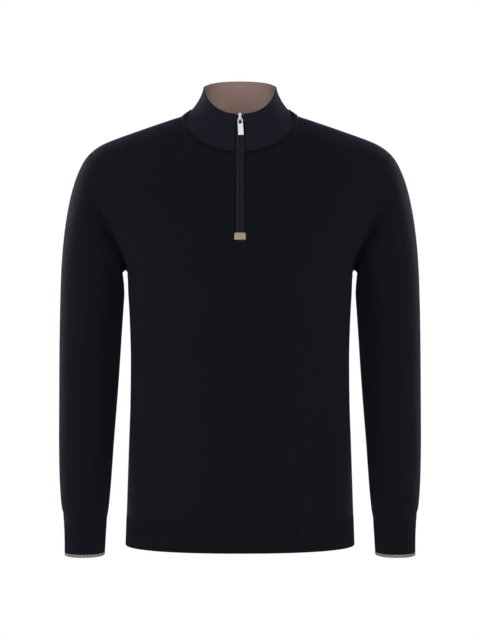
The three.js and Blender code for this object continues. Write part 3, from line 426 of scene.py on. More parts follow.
def lerp(a, b, t):
    return a + (b - a) * t


def sectionDepth(share, power):
    return np.maximum(0, 1 - share ** power) ** (1 / power)


def powerAt(z):
    return lerp(sectionPower["waist"], sectionPower["chest"],
                smoothstep(z, sectionPower["waistZ"], sectionPower["chestZ"]))


def shoulderShare(x, z):
    above = 1 - (shoulderZ(x) - z) / shoulderRounding
    return np.where(above <= 0, 1.0, np.sqrt(np.maximum(0, 1 - np.clip(above, 0, 1) ** 2)))


def armholeDepth(z, side):
    share = (z - armhole["middleZ"]) / armhole["halfHeight"]
    return armhole[side] * np.sqrt(np.maximum(0, 1 - share * share))


armholeTopZ = armhole["middleZ"] + armhole["halfHeight"] * math.cos(math.radians(armhole["yokeAngle"]))


def torsoPoint(x, z, side):
    x, z = np.broadcast_arrays(np.asarray(x, float), np.asarray(z, float))
    level = np.minimum(z, armholeTopZ)
    edge = armholeX(level)
    share = armholeDepth(level, side) / (depthAt[side](level) * shoulderShare(edge, level))
    width = np.where(z <= armpitZ, sideAt(z), edge / sectionDepth(share, powerAt(level)))
    depth = depthAt[side](z) * sectionDepth(np.minimum(1, x / width), powerAt(z)) * shoulderShare(x, z)
    return np.stack([x, outwardY[side] * depth, z], axis=-1)


def armholePoint(angle, side):
    turn = np.radians(angle)
    z = armhole["middleZ"] + armhole["halfHeight"] * np.cos(turn)
    return np.stack([armholeX(z), outwardY[side] * armhole[side] * np.sin(turn), z], axis=-1)


def neckPoint(angle, side):
    across = np.cos(np.radians(angle))
    x = neck["halfWidth"] * np.sin(np.radians(angle))
    if side == "front":
        z = neck["shoulderZ"] - neck["frontDrop"] * across ** neck["dropPower"]
    else:
        z = neck["shoulderZ"] + neck["backRise"] * across ** neck["risePower"]
    return torsoPoint(x, z, side)


def slotHalfWidth(z):
    share = np.clip((z - slot["footZ"]) / (slot["neckZ"] - slot["footZ"]), 0, 1)
    return lerp(slot["halfWidthFoot"], slot["halfWidthNeck"], share)


def finerRows(rows, atStart, atEnd):
    # extra rows close to a seam, so that the cloth can turn down sharply there
    out = [rows[0]]
    if atStart:
        out += [lerp(rows[0], rows[1], t) for t in seamShares]
    out += list(rows[1:-1])
    if atEnd:
        out += [lerp(rows[-2], rows[-1], 1 - t) for t in reversed(seamShares)]
    out.append(rows[-1])
    return np.array(out)


def finerColumns(rows, atStart, atEnd):
    return finerRows(rows.swapaxes(0, 1), atStart, atEnd).swapaxes(0, 1)


def torsoHalf(side):
    isFront = side == "front"
    yokeAngle = neckYoke[side]
    slotAngle = math.degrees(math.asin(slot["halfWidthNeck"] / neck["halfWidth"]))
    alongNeck = np.linspace(0, 1, grid["neck"] + 1)
    alongShoulder = np.linspace(0, 1, grid["shoulder"] + 1)[1:]
    neckTop = neckPoint(lerp(slotAngle if isFront else 0.0, yokeAngle, alongNeck), side)
    tip = armholePoint(armhole["yokeAngle"], side)
    seamX = lerp(neckTop[-1, 0], tip[0], alongShoulder)
    seamTop = torsoPoint(seamX, shoulderZ(seamX) - yokeDrop[side](seamX), side)
    seamTop[-1] = tip
    top = np.concatenate([neckTop, seamTop])
    angles = np.concatenate([
        lerp(neck["slotFootAngle"] if isFront else 0.0, neck["edgeAngle"], alongNeck),
        lerp(neck["edgeAngle"], 90.0, alongShoulder)])
    low = np.sin(np.radians(angles)) ** (2 / sectionPower["waist"])
    rows = []
    for z in np.linspace(hemTopZ, armpitZ, grid["lower"] + 1)[:-1]:
        x = low * sideAt(z)
        x[0] = slot["halfWidthFoot"] if isFront else 0.0
        rows.append(torsoPoint(x, np.full_like(x, z), side))
    for j in range(grid["upper"] + 1):
        angle = lerp(180.0, armhole["yokeAngle"], (j / grid["upper"]) ** grid["upperPower"])
        edge = armholePoint(angle, side)
        risen = (edge[2] - armpitZ) / (armholeTopZ - armpitZ)
        z = lerp(armpitZ, top[:, 2], risen)
        x = lerp(low, top[:, 0] / tip[0], risen) * edge[0]
        if isFront:
            x[0] = slotHalfWidth(z[0])
        row = torsoPoint(x, z, side)
        row[-1] = edge
        rows.append(top.copy() if j == grid["upper"] else row)
    return np.array(rows)


def yokeHalf(frontTop, backTop):
    rows = []
    for k in range(grid["yoke"] + 1):
        across = k / grid["yoke"]
        if k in (0, grid["yoke"]):
            rows.append((frontTop if k == 0 else backTop).copy())
            continue
        angle = lerp(-armhole["yokeAngle"], armhole["yokeAngle"], across)
        neckTurn = lerp(neckYoke["front"] - 90, 90 - neckYoke["back"], across)
        x = lerp(frontTop[:, 0], backTop[:, 0], across)
        turnOf = [np.arccos(np.clip(1 - (shoulderZ(x) - seam[:, 2]) / shoulderRounding, -1, 1))
                  for seam in (frontTop, backTop)]
        turn = lerp(-turnOf[0], turnOf[1], across)
        z = shoulderZ(x) - shoulderRounding * (1 - np.cos(turn))
        row = np.where((turn < 0)[:, None], torsoPoint(x, z, "front"), torsoPoint(x, z, "back"))
        row[0] = neckPoint(90 - abs(neckTurn), "front" if neckTurn < 0 else "back")
        row[-1] = armholePoint(abs(angle), "front" if angle < 0 else "back")
        rows.append(row)
    return np.array(rows)


def ringPoints(z, angle, side):
    across = signedPower(np.cos(np.radians(angle)), 2 / sleevePower)
    deep = signedPower(np.sin(np.radians(angle)), 2 / sleevePower)
    x = ringX(z) + ringWidth(z) * across
    y = ringY(z) + side * ringDepth(z) * deep
    return np.stack([x, y, np.full_like(x, z)], axis=-1)


def sleeveSurface(seam):
    side = np.where(seam[:, 1] > 0, 1.0, -1.0)
    up = np.clip((seam[:, 2] - armhole["middleZ"]) / armhole["halfHeight"], -1, 1)
    angle = np.degrees(np.arccos(up))
    end = ringPoints(bicepsZ, angle, side)
    reach = np.linalg.norm(seam - end, axis=1)[:, None]
    outX = cap["outward"] + cap["outwardAtTop"] * up
    outY = side * cap["forward"] * np.sin(np.radians(angle))
    leaving = np.stack([outX, outY, -np.sqrt(1 - outX ** 2)], axis=-1) * cap["leaving"] * reach
    arriving = np.array([cap["flare"], 0, -1.0]) * cap["arriving"] * reach
    rows = [sweep(t, seam, leaving, end, arriving) for t in np.linspace(0, 1, grid["cap"] + 1)]
    rows += [ringPoints(z, angle, side) for z in np.linspace(bicepsZ, cuff["topZ"], grid["lower"] + 1)[1:]]
    return np.array(rows)


def collarSurface(seam):
    isFront = seam[:, 1] < 0
    neckDeep = np.where(isFront, collarSweep["frontDepth"], collarSweep["backDepth"])
    turn = np.arctan2(np.abs(seam[:, 0]) / neck["halfWidth"], np.abs(seam[:, 1]) / neckDeep)
    side, along = np.sin(turn), np.cos(turn)
    x = collarTop["halfWidth"] * side ** (2 / collarTop["power"])
    x[0] = x[-1] = slot["halfWidthTop"]
    y = np.where(isFront, collarTop["front"], collarTop["back"]) * along ** (2 / collarTop["power"])
    z = collarTop["sideZ"] + np.where(
        isFront, -collarTop["frontDrop"] * along ** collarTop["dropPower"],
        collarTop["backRise"] * along ** collarTop["risePower"])
    top = np.stack([np.sign(seam[:, 0]) * x, y, z], axis=-1)
    inward = top - seam
    inward[:, 2] = 0
    inward /= np.linalg.norm(inward, axis=1)[:, None]
    sideShare = side ** 3
    middleRise = np.where(isFront, collarSweep["frontRise"], collarSweep["backRise"])
    rise = np.radians(lerp(middleRise, collarSweep["sideRise"], sideShare))
    height = np.linalg.norm(top - seam, axis=1)
    leaving = inward * np.cos(rise)[:, None]
    leaving[:, 2] = np.sin(rise)
    leaving *= (height * lerp(collarSweep["leaving"], collarSweep["leavingAtSide"], sideShare))[:, None]
    topRise = np.radians(np.where(isFront, collarSweep["frontTopRise"], collarSweep["backTopRise"]))
    arriving = inward * np.cos(topRise)[:, None]
    arriving[:, 2] = np.sin(topRise)
    arriving *= (height * collarSweep["arriving"])[:, None]
    return np.array([sweep(t, seam, leaving, top, arriving) for t in np.linspace(0, 1, grid["collar"] + 1)])


def sidewards(points, sign):
    return points * np.array([sign, 1.0, 1.0])


def mirrored(points):
    return sidewards(points, -1.0)


def finerHalf(half, neckPart):
    shoulderPart = finerColumns(half[:, grid["neck"]:], True, True)
    return finerRows(np.concatenate([neckPart, shoulderPart], axis=1), True, True)


frontHalf = torsoHalf("front")
backHalf = torsoHalf("back")
yoke = yokeHalf(frontHalf[-1, grid["neck"]:], backHalf[-1, grid["neck"]:])
slotFootRow = int(np.argmin(np.abs(frontHalf[:, 0, 2] - slot["footZ"]))) + len(seamShares)
yoke = finerColumns(finerRows(yoke, True, True), True, True)
fineNeck = finerColumns(frontHalf[:, :grid["neck"] + 1], True, False)
frontHalf = finerHalf(frontHalf, fineNeck[:, :-1])
backHalf = finerHalf(backHalf, backHalf[:, :grid["neck"]])
# the cloth beside the neck and yoke corner shares its columns with the yoke
neckCount = {"front": fineNeck.shape[1] - 1, "back": grid["neck"]}
armpitRow = grid["lower"] + len(seamShares)
armholeSeam = np.concatenate([
    frontHalf[armpitRow:-1, -1], yoke[:-1, -1], backHalf[armpitRow + 1:, -1][::-1],
])
sleeve = finerRows(sleeveSurface(armholeSeam), True, True)


def walkedAlong(line):
    # how far along a line of points each of them is
    return np.concatenate([[0], np.cumsum(np.linalg.norm(np.diff(line, axis=0), axis=1))])


def softArmhole(reach=26.0, slopeStep=6.0, fadeFrom=-0.55, fadeTo=0.2):
    # body and sleeve run into each other in one soft curve, except low down where they meet in a fold
    global frontHalf, backHalf, yoke, sleeve
    inward = [frontHalf[j, ::-1] for j in range(armpitRow, len(frontHalf) - 1)]
    inward += [yoke[k, ::-1] for k in range(len(yoke) - 1)]
    inward += [backHalf[j, ::-1] for j in range(len(backHalf) - 1, armpitRow, -1)]
    softBody, softSleeve = [line.copy() for line in inward], sleeve.copy()
    for i, body in enumerate(inward):
        arm = sleeve[:, i]
        up = (armholeSeam[i, 2] - armhole["middleZ"]) / armhole["halfHeight"]
        weight = float(smoothstep(up, fadeFrom, fadeTo))
        walked = [walkedAlong(line) for line in (body, arm)]
        ends, slopes = [], []
        for line, length in zip((body, arm), walked):
            near, far = (np.array([np.interp(at, length, line[:, k]) for k in range(3)])
                         for at in (reach, reach + slopeStep))
            ends.append(near)
            slopes.append((far - near) / slopeStep * reach * 2)
        for line, length, side in ((softBody[i], walked[0], -1.0), (softSleeve[:, i], walked[1], 1.0)):
            inside = length < reach
            t = (0.5 + side * length[inside] / reach / 2)[:, None]
            curve = sweep(t, ends[0], -slopes[0], ends[1], slopes[1])
            line[inside] = lerp(line[inside], curve, weight)
    sleeve = softSleeve
    rows = iter(softBody)
    for j in range(armpitRow, len(frontHalf) - 1):
        frontHalf[j] = next(rows)[::-1]
    for k in range(len(yoke) - 1):
        yoke[k] = next(rows)[::-1]
    lastRow = next(rows)[::-1]
    for j in range(len(backHalf) - 2, armpitRow, -1):
        backHalf[j] = next(rows)[::-1]
    backHalf[-1] = lastRow
    frontHalf[-1, neckCount["front"]:] = yoke[0]
    yoke[-1] = backHalf[-1, neckCount["back"]:]


softArmhole()
front = np.concatenate([mirrored(frontHalf[:, ::-1]), frontHalf], axis=1)
back = np.concatenate([mirrored(backHalf[:, :0:-1]), backHalf], axis=1)
halfNeckSeam = np.concatenate([
    frontHalf[-1, :neckCount["front"]], yoke[:, 0], backHalf[-1, :neckCount["back"]][::-1],
])
neckSeam = np.concatenate([halfNeckSeam, mirrored(halfNeckSeam[-2::-1])])
collar = finerRows(collarSurface(neckSeam), True, True)
surfaces = {
    "front": front, "back": back, "yoke_left": yoke, "yoke_right": mirrored(yoke),
    "sleeve_left": sleeve, "sleeve_right": mirrored(sleeve), "collar": collar,
}


def middleOf(name, at):
    out = np.zeros_like(at)
    z = at[:, 2]
    if name.startswith("yoke"):
        sign = 1.0 if name.endswith("left") else -1.0
        out[:] = (sign * innerPlace["yokeX"], 0, innerPlace["yokeZ"])
    elif name.startswith("sleeve"):
        sign = 1.0 if name.endswith("left") else -1.0
        low = np.minimum(z, bicepsZ)
        out[:, 0] = sign * (ringX(low) - np.where(z > bicepsZ, innerPlace["capInset"], 0.0))
        out[:, 1] = ringY(low)
        out[:, 2] = low
    else:
        out[:, 2] = z if name == "collar" else np.minimum(z, armpitZ)
    return out


def outwardDirections(panels):
    # shared by panels that meet, so that no seam gapes
    points, normals, spans, start = [], [], {}, 0
    for name, rows in panels.items():
        wrap = name.startswith("sleeve")
        closed = np.concatenate([rows, rows[:, :1]], axis=1) if wrap else rows
        a, b, c, d = closed[:-1, :-1], closed[:-1, 1:], closed[1:, 1:], closed[1:, :-1]
        face = np.cross(c - a, d - b)
        away = (face * (a - middleOf(name, a.reshape(-1, 3)).reshape(a.shape))).sum()
        face *= np.sign(away)
        total = np.zeros_like(closed)
        for js, cs in ((slice(None, -1), slice(None, -1)), (slice(None, -1), slice(1, None)),
                       (slice(1, None), slice(1, None)), (slice(1, None), slice(None, -1))):
            total[js, cs] += face
        if wrap:
            total[:, 0] += total[:, -1]
            total = total[:, :-1]
        points.append(rows.reshape(-1, 3))
        normals.append(total.reshape(-1, 3))
        spans[name] = (start, start + rows.shape[0] * rows.shape[1], rows.shape)
        start += rows.shape[0] * rows.shape[1]
    keys = np.round(np.concatenate(points) * 100).astype(np.int64)
    shared, index = np.unique(keys, axis=0, return_inverse=True)
    index = index.reshape(-1)
    sums = np.zeros((len(shared), 3))
    np.add.at(sums, index, np.concatenate(normals))
    for sign in (1.0, -1.0):
        at = sidewards(sleeve[0], sign)
        seamKeys = {tuple(key) for key in np.round(at * 100).astype(np.int64)}
        found = [i for i, key in enumerate(map(tuple, shared)) if key in seamKeys]
        here = shared[found] / 100.0
        up = (here[:, 2] - armhole["middleZ"]) / armhole["halfHeight"]
        smooth = np.clip((up + armhole["mitreBelow"]) / armhole["mitreSpan"], 0, 1)[:, None]
        radial = here * np.array([0, 1, 1]) - np.array([0, 0, armhole["middleZ"]])
        radial /= np.linalg.norm(radial, axis=1)[:, None]
        unit = sums[found] / np.linalg.norm(sums[found], axis=1)[:, None]
        sums[found] = unit * smooth + radial * (1 - smooth)
    sums /= np.maximum(1e-12, np.linalg.norm(sums, axis=1))[:, None]
    welded = sums[index]
    return {name: welded[a:b].reshape(shape) for name, (a, b, shape) in spans.items()}


directions = outwardDirections(surfaces)
print("surfaces done", {name: rows.shape[:2] for name, rows in surfaces.items()})


# soft creases: each runs along a line on the cloth, as a trough (minus) or a ridge (plus)

def alongLine(points, line):
    # distance from a line of points, and how far along it each nearest place is
    best = np.full(len(points), 1e9)
    where = np.zeros(len(points))
    lengths = np.linalg.norm(np.diff(line, axis=0), axis=1)
    total, walked = lengths.sum(), 0.0
    for a, b, length in zip(line[:-1], line[1:], lengths):
        t = np.clip(((points - a) @ (b - a)) / length ** 2, 0, 1)
        gap = np.linalg.norm(points - a - t[:, None] * (b - a), axis=1)
        closer = gap < best
        best[closer] = gap[closer]
        where[closer] = (walked + t[closer] * length) / total
        walked += length
    return best, where


def creased(rows, folds):
    flat = rows.reshape(-1, 3)
    shift = np.zeros(len(flat))
    for fold in folds:
        gap, where = alongLine(flat, np.array(fold["line"], float))
        if fold["openStart"]:
            fade = np.clip((1 - where) / fold["fade"], 0, 1)
        else:
            fade = smoothstep(np.minimum(where, 1 - where) / fold["fade"], 0, 1)
        shift += fold["depth"] * np.exp(-(gap / fold["width"]) ** 2) * fade
    return shift.reshape(rows.shape[:2])


def onTorso(side, places):
    return [sidewards(torsoPoint(abs(x), z, side), -1.0 if x < 0 else 1.0) for x, z in places]


def onSleeve(sign, places):
    # place: level, turn round the sleeve from its outer side towards the front, in degrees
    return [sidewards(ringPoints(float(z), float(turn), -1.0), sign) for z, turn in places]


def foldAlong(line, width, depth, fade=0.35, openStart=False):
    return {"line": line, "width": width, "depth": depth, "fade": fade, "openStart": openStart}


# places as x and z, then width, depth, how far the ends fade and whether the first end stays open
torsoCreases = {
    "front": [
        # from the armpits up the armholes and across the chest
        ([(184, -262), (191, -226), (203, -196), (216, -166), (226, -138)], 13, -5.0, 0.7, True),
        ([(-184, -262), (-191, -226), (-203, -196), (-216, -168), (-225, -144)], 13, -4.6, 0.7, True),
        ([(186, -250), (168, -222), (146, -198)], 12, -1.6, 0.8, True),
        ([(-186, -250), (-165, -226), (-140, -206)], 13, -1.7, 0.8, True),
        ([(180, -282), (150, -292), (112, -286)], 16, -1.4, 0.5),
        ([(-180, -276), (-154, -290), (-122, -292)], 15, -1.3, 0.5),
        # long soft waves of the loose body
        ([(118, -330), (126, -450), (122, -600)], 26, -1.6),
        ([(-124, -340), (-130, -470), (-120, -620)], 28, -1.5),
        ([(58, -420), (66, -520), (60, -630)], 30, 1.2),
        ([(-48, -440), (-58, -540), (-50, -632)], 28, 1.1),
        # small puckers beside the zip
        ([(14, -84), (22, -92), (30, -106)], 3.6, -0.9),
        ([(12, -70), (20, -74), (28, -86)], 3.2, -0.6),
        ([(-13, -76), (-19, -84), (-22, -98)], 3.4, -0.5),
        ([(10, -186), (16, -204), (18, -224)], 5.0, -0.6),
        ([(-9, -190), (-12, -206), (-12, -230)], 5.0, -0.5),
    ],
    "back": [
        ([(184, -262), (191, -226), (203, -196), (216, -166), (226, -138)], 13, -4.4, 0.7, True),
        ([(-184, -262), (-191, -226), (-203, -196), (-216, -168), (-225, -144)], 13, -4.8, 0.7, True),
        ([(186, -250), (160, -220), (130, -200)], 13, -1.9, 0.8, True),
        ([(-186, -250), (-162, -216), (-136, -192)], 13, -1.7, 0.8, True),
        ([(176, -300), (130, -330), (70, -338)], 18, -1.7),
        ([(-174, -310), (-120, -344), (-58, -350)], 17, -1.6),
        ([(20, -372), (-30, -392), (-96, -390)], 18, -1.8),
        ([(110, -360), (118, -480), (112, -610)], 28, -1.7),
        ([(-116, -380), (-124, -500), (-112, -620)], 28, -1.6),
    ],
}
torsoFolds = {
    side: [foldAlong(onTorso(side, places), *given) for places, *given in creases]
    for side, creases in torsoCreases.items()
}


def sleeveFolds(sign, shift):
    # the crook of the arm, the loose cloth above the cuff and a few soft pulls, not the same on both
    creases = [
        ([(-262, 180), (-330, 172), (-420, 166)], 17, -2.0, 0.5),
        ([(-392 + shift, 40), (-404 + shift, 90), (-398 + shift, 140)], 12, -1.9),
        ([(-428 + shift, 60), (-436 + shift, 110), (-424 + shift, 165)], 12, -2.2),
        ([(-462 + shift, 75), (-468 + shift, 120), (-458 + shift, 175)], 11, -1.5),
        ([(-300 - shift, 20), (-340, 60), (-372 - shift, 80)], 16, -1.3),
        ([(-500, 100), (-545 + shift, 60), (-585, 30)], 14, -1.4),
        ([(-596 + shift, 20), (-603, 80), (-600 - shift, 140)], 7, -1.3),
        ([(-616, 60), (-620 - shift * 0.3, 120), (-615, 185)], 6, -1.5),
        ([(-633, -60), (-636, 10), (-634, 80)], 5, -1.3),
        ([(-622, -160), (-628, -110), (-622, -50)], 6, -1.2),
        ([(-640, 90), (-638, 150), (-641, 210)], 5, -1.2),
        ([(-380, -60), (-410 + shift, -110), (-430, -160)], 15, -1.6),
        ([(-440, -30), (-470 - shift, -80), (-480, -130)], 14, -1.5),
    ]
    return [foldAlong(onSleeve(sign, places), *given) for places, *given in creases]


print("folds done")


# shells: a wall under a grid of outside points, with rounded free edges and turned down seams

def arcLengths(rows, axis):
    steps = np.linalg.norm(np.diff(rows, axis=axis), axis=2)
    pad = [(0, 0), (0, 0)]
    pad[axis] = (1, 0)
    return np.cumsum(np.pad(steps, pad), axis=axis)


rimRoundness = 0.42


def clothMesh(name, rows, out, thickness, material, start=0.0, wrap=False, shift=None, sewn=(), keep=None,
              pressed=None, turned=False, middle=None):
    height, width = rows.shape[:2]
    along = arcLengths(rows, 0)
    closed = np.concatenate([rows, rows[:, :1]], axis=1) if wrap else rows
    across = arcLengths(closed, 1)
    if middle is not None:
        across = across - across[:, middle:middle + 1]
    drop = np.zeros((height, width)) if shift is None else -shift.copy()
    edges = {
        "bottom": along, "top": along[-1:] - along,
        "first": across[:, :width], "last": (across[:, -1:] - across)[:, :width],
    }
    for side, depth, reach in sewn:
        upright = side in ("first", "last") and np.ndim(depth) == 1
        depth, reach = (np.reshape(v, (-1, 1)) if upright and np.ndim(v) else v for v in (depth, reach))
        drop += depth * np.exp(-(np.abs(edges[side]) / reach) ** 2)
    outer = rows - out * (drop + start)[..., None]
    inner = rows - out * (drop + start + thickness)[..., None]
    verts = [outer.reshape(-1, 3), inner.reshape(-1, 3)]
    cells = width if wrap else width - 1
    kept = np.ones((height - 1, cells), bool)
    if keep is not None:
        kept = keep(kept)
    count = height * width
    faces, uvs = [], []

    def uvOf(j, i):
        u, v = across[j, i] * mm, along[j, i % width] * mm
        return (v, u) if turned else (u, v)

    def number(j, i):
        return j * width + i % width

    extra = []
    rimPoints = {}

    def nearest(j, i):
        column = i % width if wrap else min(max(i, 0), width - 1)
        return rows[min(max(j, 0), height - 1), column]

    def rim(j0, i0, j1, i1, away):
        # two narrow faces round a free edge, pushed out at mid thickness
        pair = []
        for j, i in ((j0, i0), (j1, i1)):
            key = (j, i % width, tuple(away))
            if key not in rimPoints:
                a, b = verts[0][number(j, i)], verts[1][number(j, i)]
                push = rows[j, i % width] - nearest(j - away[0], i - away[1])
                push = push / max(1e-6, np.linalg.norm(push))
                rimPoints[key] = 2 * count + len(extra)
                extra.append((a + b) / 2 + push * thickness * rimRoundness)
            pair.append(rimPoints[key])
        a, b = number(j0, i0), number(j1, i1)
        for quad in ((a, pair[0], pair[1], b), (pair[0], a + count, b + count, pair[1])):
            faces.append(quad)
            uvs.extend([uvOf(j0, i0), uvOf(j0, i0), uvOf(j1, i1), uvOf(j1, i1)])

    for j in range(height - 1):
        for i in range(cells):
            if not kept[j, i]:
                continue
            corners = [(j, i), (j, i + 1), (j + 1, i + 1), (j + 1, i)]
            quad = [number(*corner) for corner in corners]
            faces.append(tuple(quad))
            uvs.extend(uvOf(*corner) for corner in corners)
            faces.append(tuple(q + count for q in reversed(quad)))
            uvs.extend(uvOf(*corner) for corner in reversed(corners))
            beside = {
                (-1, 0): ((j, i + 1), (j, i)), (1, 0): ((j + 1, i), (j + 1, i + 1)),
                (0, -1): ((j, i), (j + 1, i)), (0, 1): ((j + 1, i + 1), (j, i + 1)),
            }
            for (dj, di), (p, q) in beside.items():
                nj, ni = j + dj, i + di
                if wrap:
                    ni %= width
                inside = 0 <= nj < height - 1 and 0 <= ni < cells
                if inside and kept[nj, ni]:
                    continue
                rim(*p, *q, (dj, di))
    allVerts = np.concatenate(verts + ([np.array(extra)] if extra else [])) * mm
    used = np.unique(np.concatenate([np.array(face) for face in faces]))
    renumber = np.full(len(allVerts), -1)
    renumber[used] = np.arange(len(used))
    mesh = bpy.data.meshes.new(name)
    mesh.from_pydata(allVerts[used].tolist(), [], [tuple(int(renumber[q]) for q in face) for face in faces])
    layer = mesh.uv_layers.new(name="cloth")
    layer.data.foreach_set("uv", np.array(uvs, float).ravel())
    # painted shade, kept on the mesh as a point attribute
    if pressed is not None:
        tone = np.concatenate([pressed.ravel(), np.zeros(len(allVerts) - count)])
        mesh.attributes.new("pressed", "FLOAT", "POINT").data.foreach_set("value", tone[used])
    mesh.materials.append(material)
    obj = bpy.data.objects.new(name, mesh)
    scene.collection.objects.link(obj)
    # faces turned to look out
    shell = bmesh.new()
    shell.from_mesh(mesh)
    bmesh.ops.recalc_face_normals(shell, faces=shell.faces)
    shell.to_mesh(mesh)
    shell.free()
    mesh.polygons.foreach_set("use_smooth", [True] * len(mesh.polygons))
    return obj


# how deep each seam turns down, and how far from it the cloth starts to turn, in millimetres
seams = {
    "yoke": (1.1, 1.7), "yokeEdge": (0.4, 1.2), "collar": (0.9, 2.5), "armhole": (0.25, 1.6),
    "side": (0.45, 1.6), "rib": (0.15, 1.2), "yokeFades": (188, 226), "yokeFadeShare": 0.9,
    "collarShare": 0.35,
}
neckSeamDepth = {"middle": 2.6, "side": 0.35, "from": 34.0, "to": 78.0, "reach": 4.5}
# how dark the painted shade on the knit is in each place, and how far from the seam it reaches
pressedLook = {
    "neck": 0.9, "neckReach": 6.0, "neckEnd": 96, "neckFades": 36, "neckLeast": 0.3,
    "yoke": 0.8, "yokeReach": 2.6, "yokeFades": (170, 222),
    "armhole": 0.8, "armholeReach": 10.0, "armholeFades": (-0.5, 0.45),
    "puckerWidth": 6, "pucker": 0.8, "puckerMost": 0.65, "slot": 0.8, "slotReach": 2.0, "slotFades": 1.0,
    "inner": 0.62, "innerFacing": (0.3, 0.9), "innerRises": (-640, -540), "innerFades": (-262, -215),
}
body = "garment"


def clothPiece(node, slotName, rows, rests, wrap=False, **options):
    made = clothMesh(node + "Cloth", rows, options.pop("out"), wrap=wrap, **options)
    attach(made, body)
    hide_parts(node)


slotColumn = frontHalf.shape[1] - 1


def withoutSlot(kept):
    kept[slotFootRow:, slotColumn] = False
    return kept


def neckDepth(x):
    near = smoothstep(np.abs(x), neckSeamDepth["from"], neckSeamDepth["to"])
    return lerp(neckSeamDepth["middle"], neckSeamDepth["side"], near)


def yokeDepth(x):
    # the yoke's seam fades into the shoulder's tip
    return seams["yoke"][0] * (1 - seams["yokeFadeShare"] * smoothstep(np.abs(x), *seams["yokeFades"]))


def neckAndYoke(rows, half):
    # the neck seam lies deeper than the yoke's
    column = np.abs(rows[-1, :, 0])
    atNeck = column < half[-1, neckCount["front" if rows is front else "back"], 0] + 1.0
    depth = np.where(atNeck, neckDepth(column), yokeDepth(column))
    return "top", depth, np.where(atNeck, neckSeamDepth["reach"], seams["yoke"][1])


def bodySeams(rows, half):
    side = np.where(np.arange(len(rows)) < armpitRow, seams["side"][0], seams["armhole"][0])
    upright = [(edge, side, seams["side"][1]) for edge in ("first", "last")]
    return [("bottom", *seams["rib"]), neckAndYoke(rows, half), *upright]


def nearSeam(rows, line, reach):
    gap = alongLine(rows.reshape(-1, 3), line)[0]
    return np.exp(-(gap / reach) ** 2).reshape(rows.shape[:2])


def pressedTone(rows):
    # painted shade on the knit: under the collar's edge, along the yoke seams, low down in the armholes and
    # in the puckers beside the zip
    look = pressedLook
    x = np.abs(rows[..., 0])
    middle = smoothstep(look["neckEnd"] - x, 0, look["neckFades"])
    tone = look["neck"] * nearSeam(rows, neckSeam, look["neckReach"]) * lerp(look["neckLeast"], 1, middle)
    yokeShare = look["yoke"] * (1 - smoothstep(x, *look["yokeFades"]))
    up = (rows[..., 2] - armhole["middleZ"]) / armhole["halfHeight"]
    armholeShare = look["armhole"] * (1 - smoothstep(up, *look["armholeFades"]))
    for sign in (1.0, -1.0):
        for edge in (yoke[0], yoke[-1]):
            tone = np.maximum(tone, yokeShare * nearSeam(rows, sidewards(edge, sign), look["yokeReach"]))
        tone = np.maximum(
            tone, armholeShare * nearSeam(rows, sidewards(armholeSeam, sign), look["armholeReach"]))
    puckers = [fold for fold in torsoFolds["front"] if fold["width"] < look["puckerWidth"]]
    return np.maximum(tone, np.clip(-look["pucker"] * creased(rows, puckers), 0, look["puckerMost"]))


def slotPaintedShade(rows):
    # painted shade on the knit along the slot's edges, beside the zip
    level = np.clip(rows[..., 2], slot["footZ"], slot["neckZ"])
    beside = np.abs(rows[..., 0]) - slotHalfWidth(level)
    fades = pressedLook["slotFades"]
    above = smoothstep(rows[..., 2], slot["footZ"] - fades, slot["footZ"] + fades)
    return pressedLook["slot"] * np.exp(-(beside / pressedLook["slotReach"]) ** 2) * above


def innerPaintedShade(rows, out, sign):
    # painted shade on the sleeve's inner side, which faces the body
    facing = smoothstep(-sign * out[..., 0], *pressedLook["innerFacing"])
    level = (smoothstep(rows[..., 2], *pressedLook["innerRises"])
             * (1 - smoothstep(rows[..., 2], *pressedLook["innerFades"])))
    return np.maximum(pressedTone(rows), pressedLook["inner"] * facing * level)


frontShift = creased(front, torsoFolds["front"])
clothPiece(
    "front", "navy_knit", front, ["yoke_left", "yoke_right", "collar"], out=directions["front"],
    thickness=clothThickness, material=navyKnit, shift=frontShift, sewn=bodySeams(front, frontHalf),
    pressed=np.maximum(pressedTone(front), slotPaintedShade(front)), keep=withoutSlot, middle=front.shape[1] // 2)
clothPiece(
    "back", "navy_knit", back, ["yoke_left", "yoke_right", "collar"], out=directions["back"],
    thickness=clothThickness, material=navyKnit, shift=creased(back, torsoFolds["back"]),
    sewn=bodySeams(back, backHalf), pressed=pressedTone(back), middle=back.shape[1] // 2)
for side, sign, unevenness in (("left", 1.0, 5.0), ("right", -1.0, -4.0)):
    yokeRows, sleeveRows = surfaces[f"yoke_{side}"], surfaces[f"sleeve_{side}"]
    edgeShare, edgeReach = seams["yokeEdge"]
    clothPiece(
        f"yoke_{side}", "yoke_knit", yokeRows, [f"sleeve_{side}"], out=directions[f"yoke_{side}"],
        thickness=clothThickness, material=yokeKnit, turned=True, sewn=[
            ("bottom", edgeShare * yokeDepth(yokeRows[0, :, 0]), edgeReach),
            ("top", edgeShare * yokeDepth(yokeRows[-1, :, 0]), edgeReach),
            ("first", neckDepth(yokeRows[:, 0, 0]), neckSeamDepth["reach"]),
            ("last", *seams["armhole"]),
        ])
    capFolds = [fold for fold in torsoFolds["front"][:2] + torsoFolds["back"][:2]
                if np.sign(fold["line"][0][0]) == sign]
    clothPiece(
        f"sleeve_{side}", "navy_knit", sleeveRows, [f"yoke_{side}", f"cuff_{side}"], wrap=True,
        out=directions[f"sleeve_{side}"], thickness=clothThickness, material=navyKnit,
        shift=creased(sleeveRows, sleeveFolds(sign, unevenness)) + creased(sleeveRows, capFolds),
        sewn=[("bottom", *seams["armhole"]), ("top", *seams["rib"])], middle=len(armholeSeam) // 2,
        pressed=innerPaintedShade(sleeveRows, directions[f"sleeve_{side}"], sign))
print("body, yokes and sleeves done")


# ribbing: a raised and a sunk pair of wales for each rib

ribSeam = {"depth": 0.15, "reach": 1.6, "gap": 0.15}


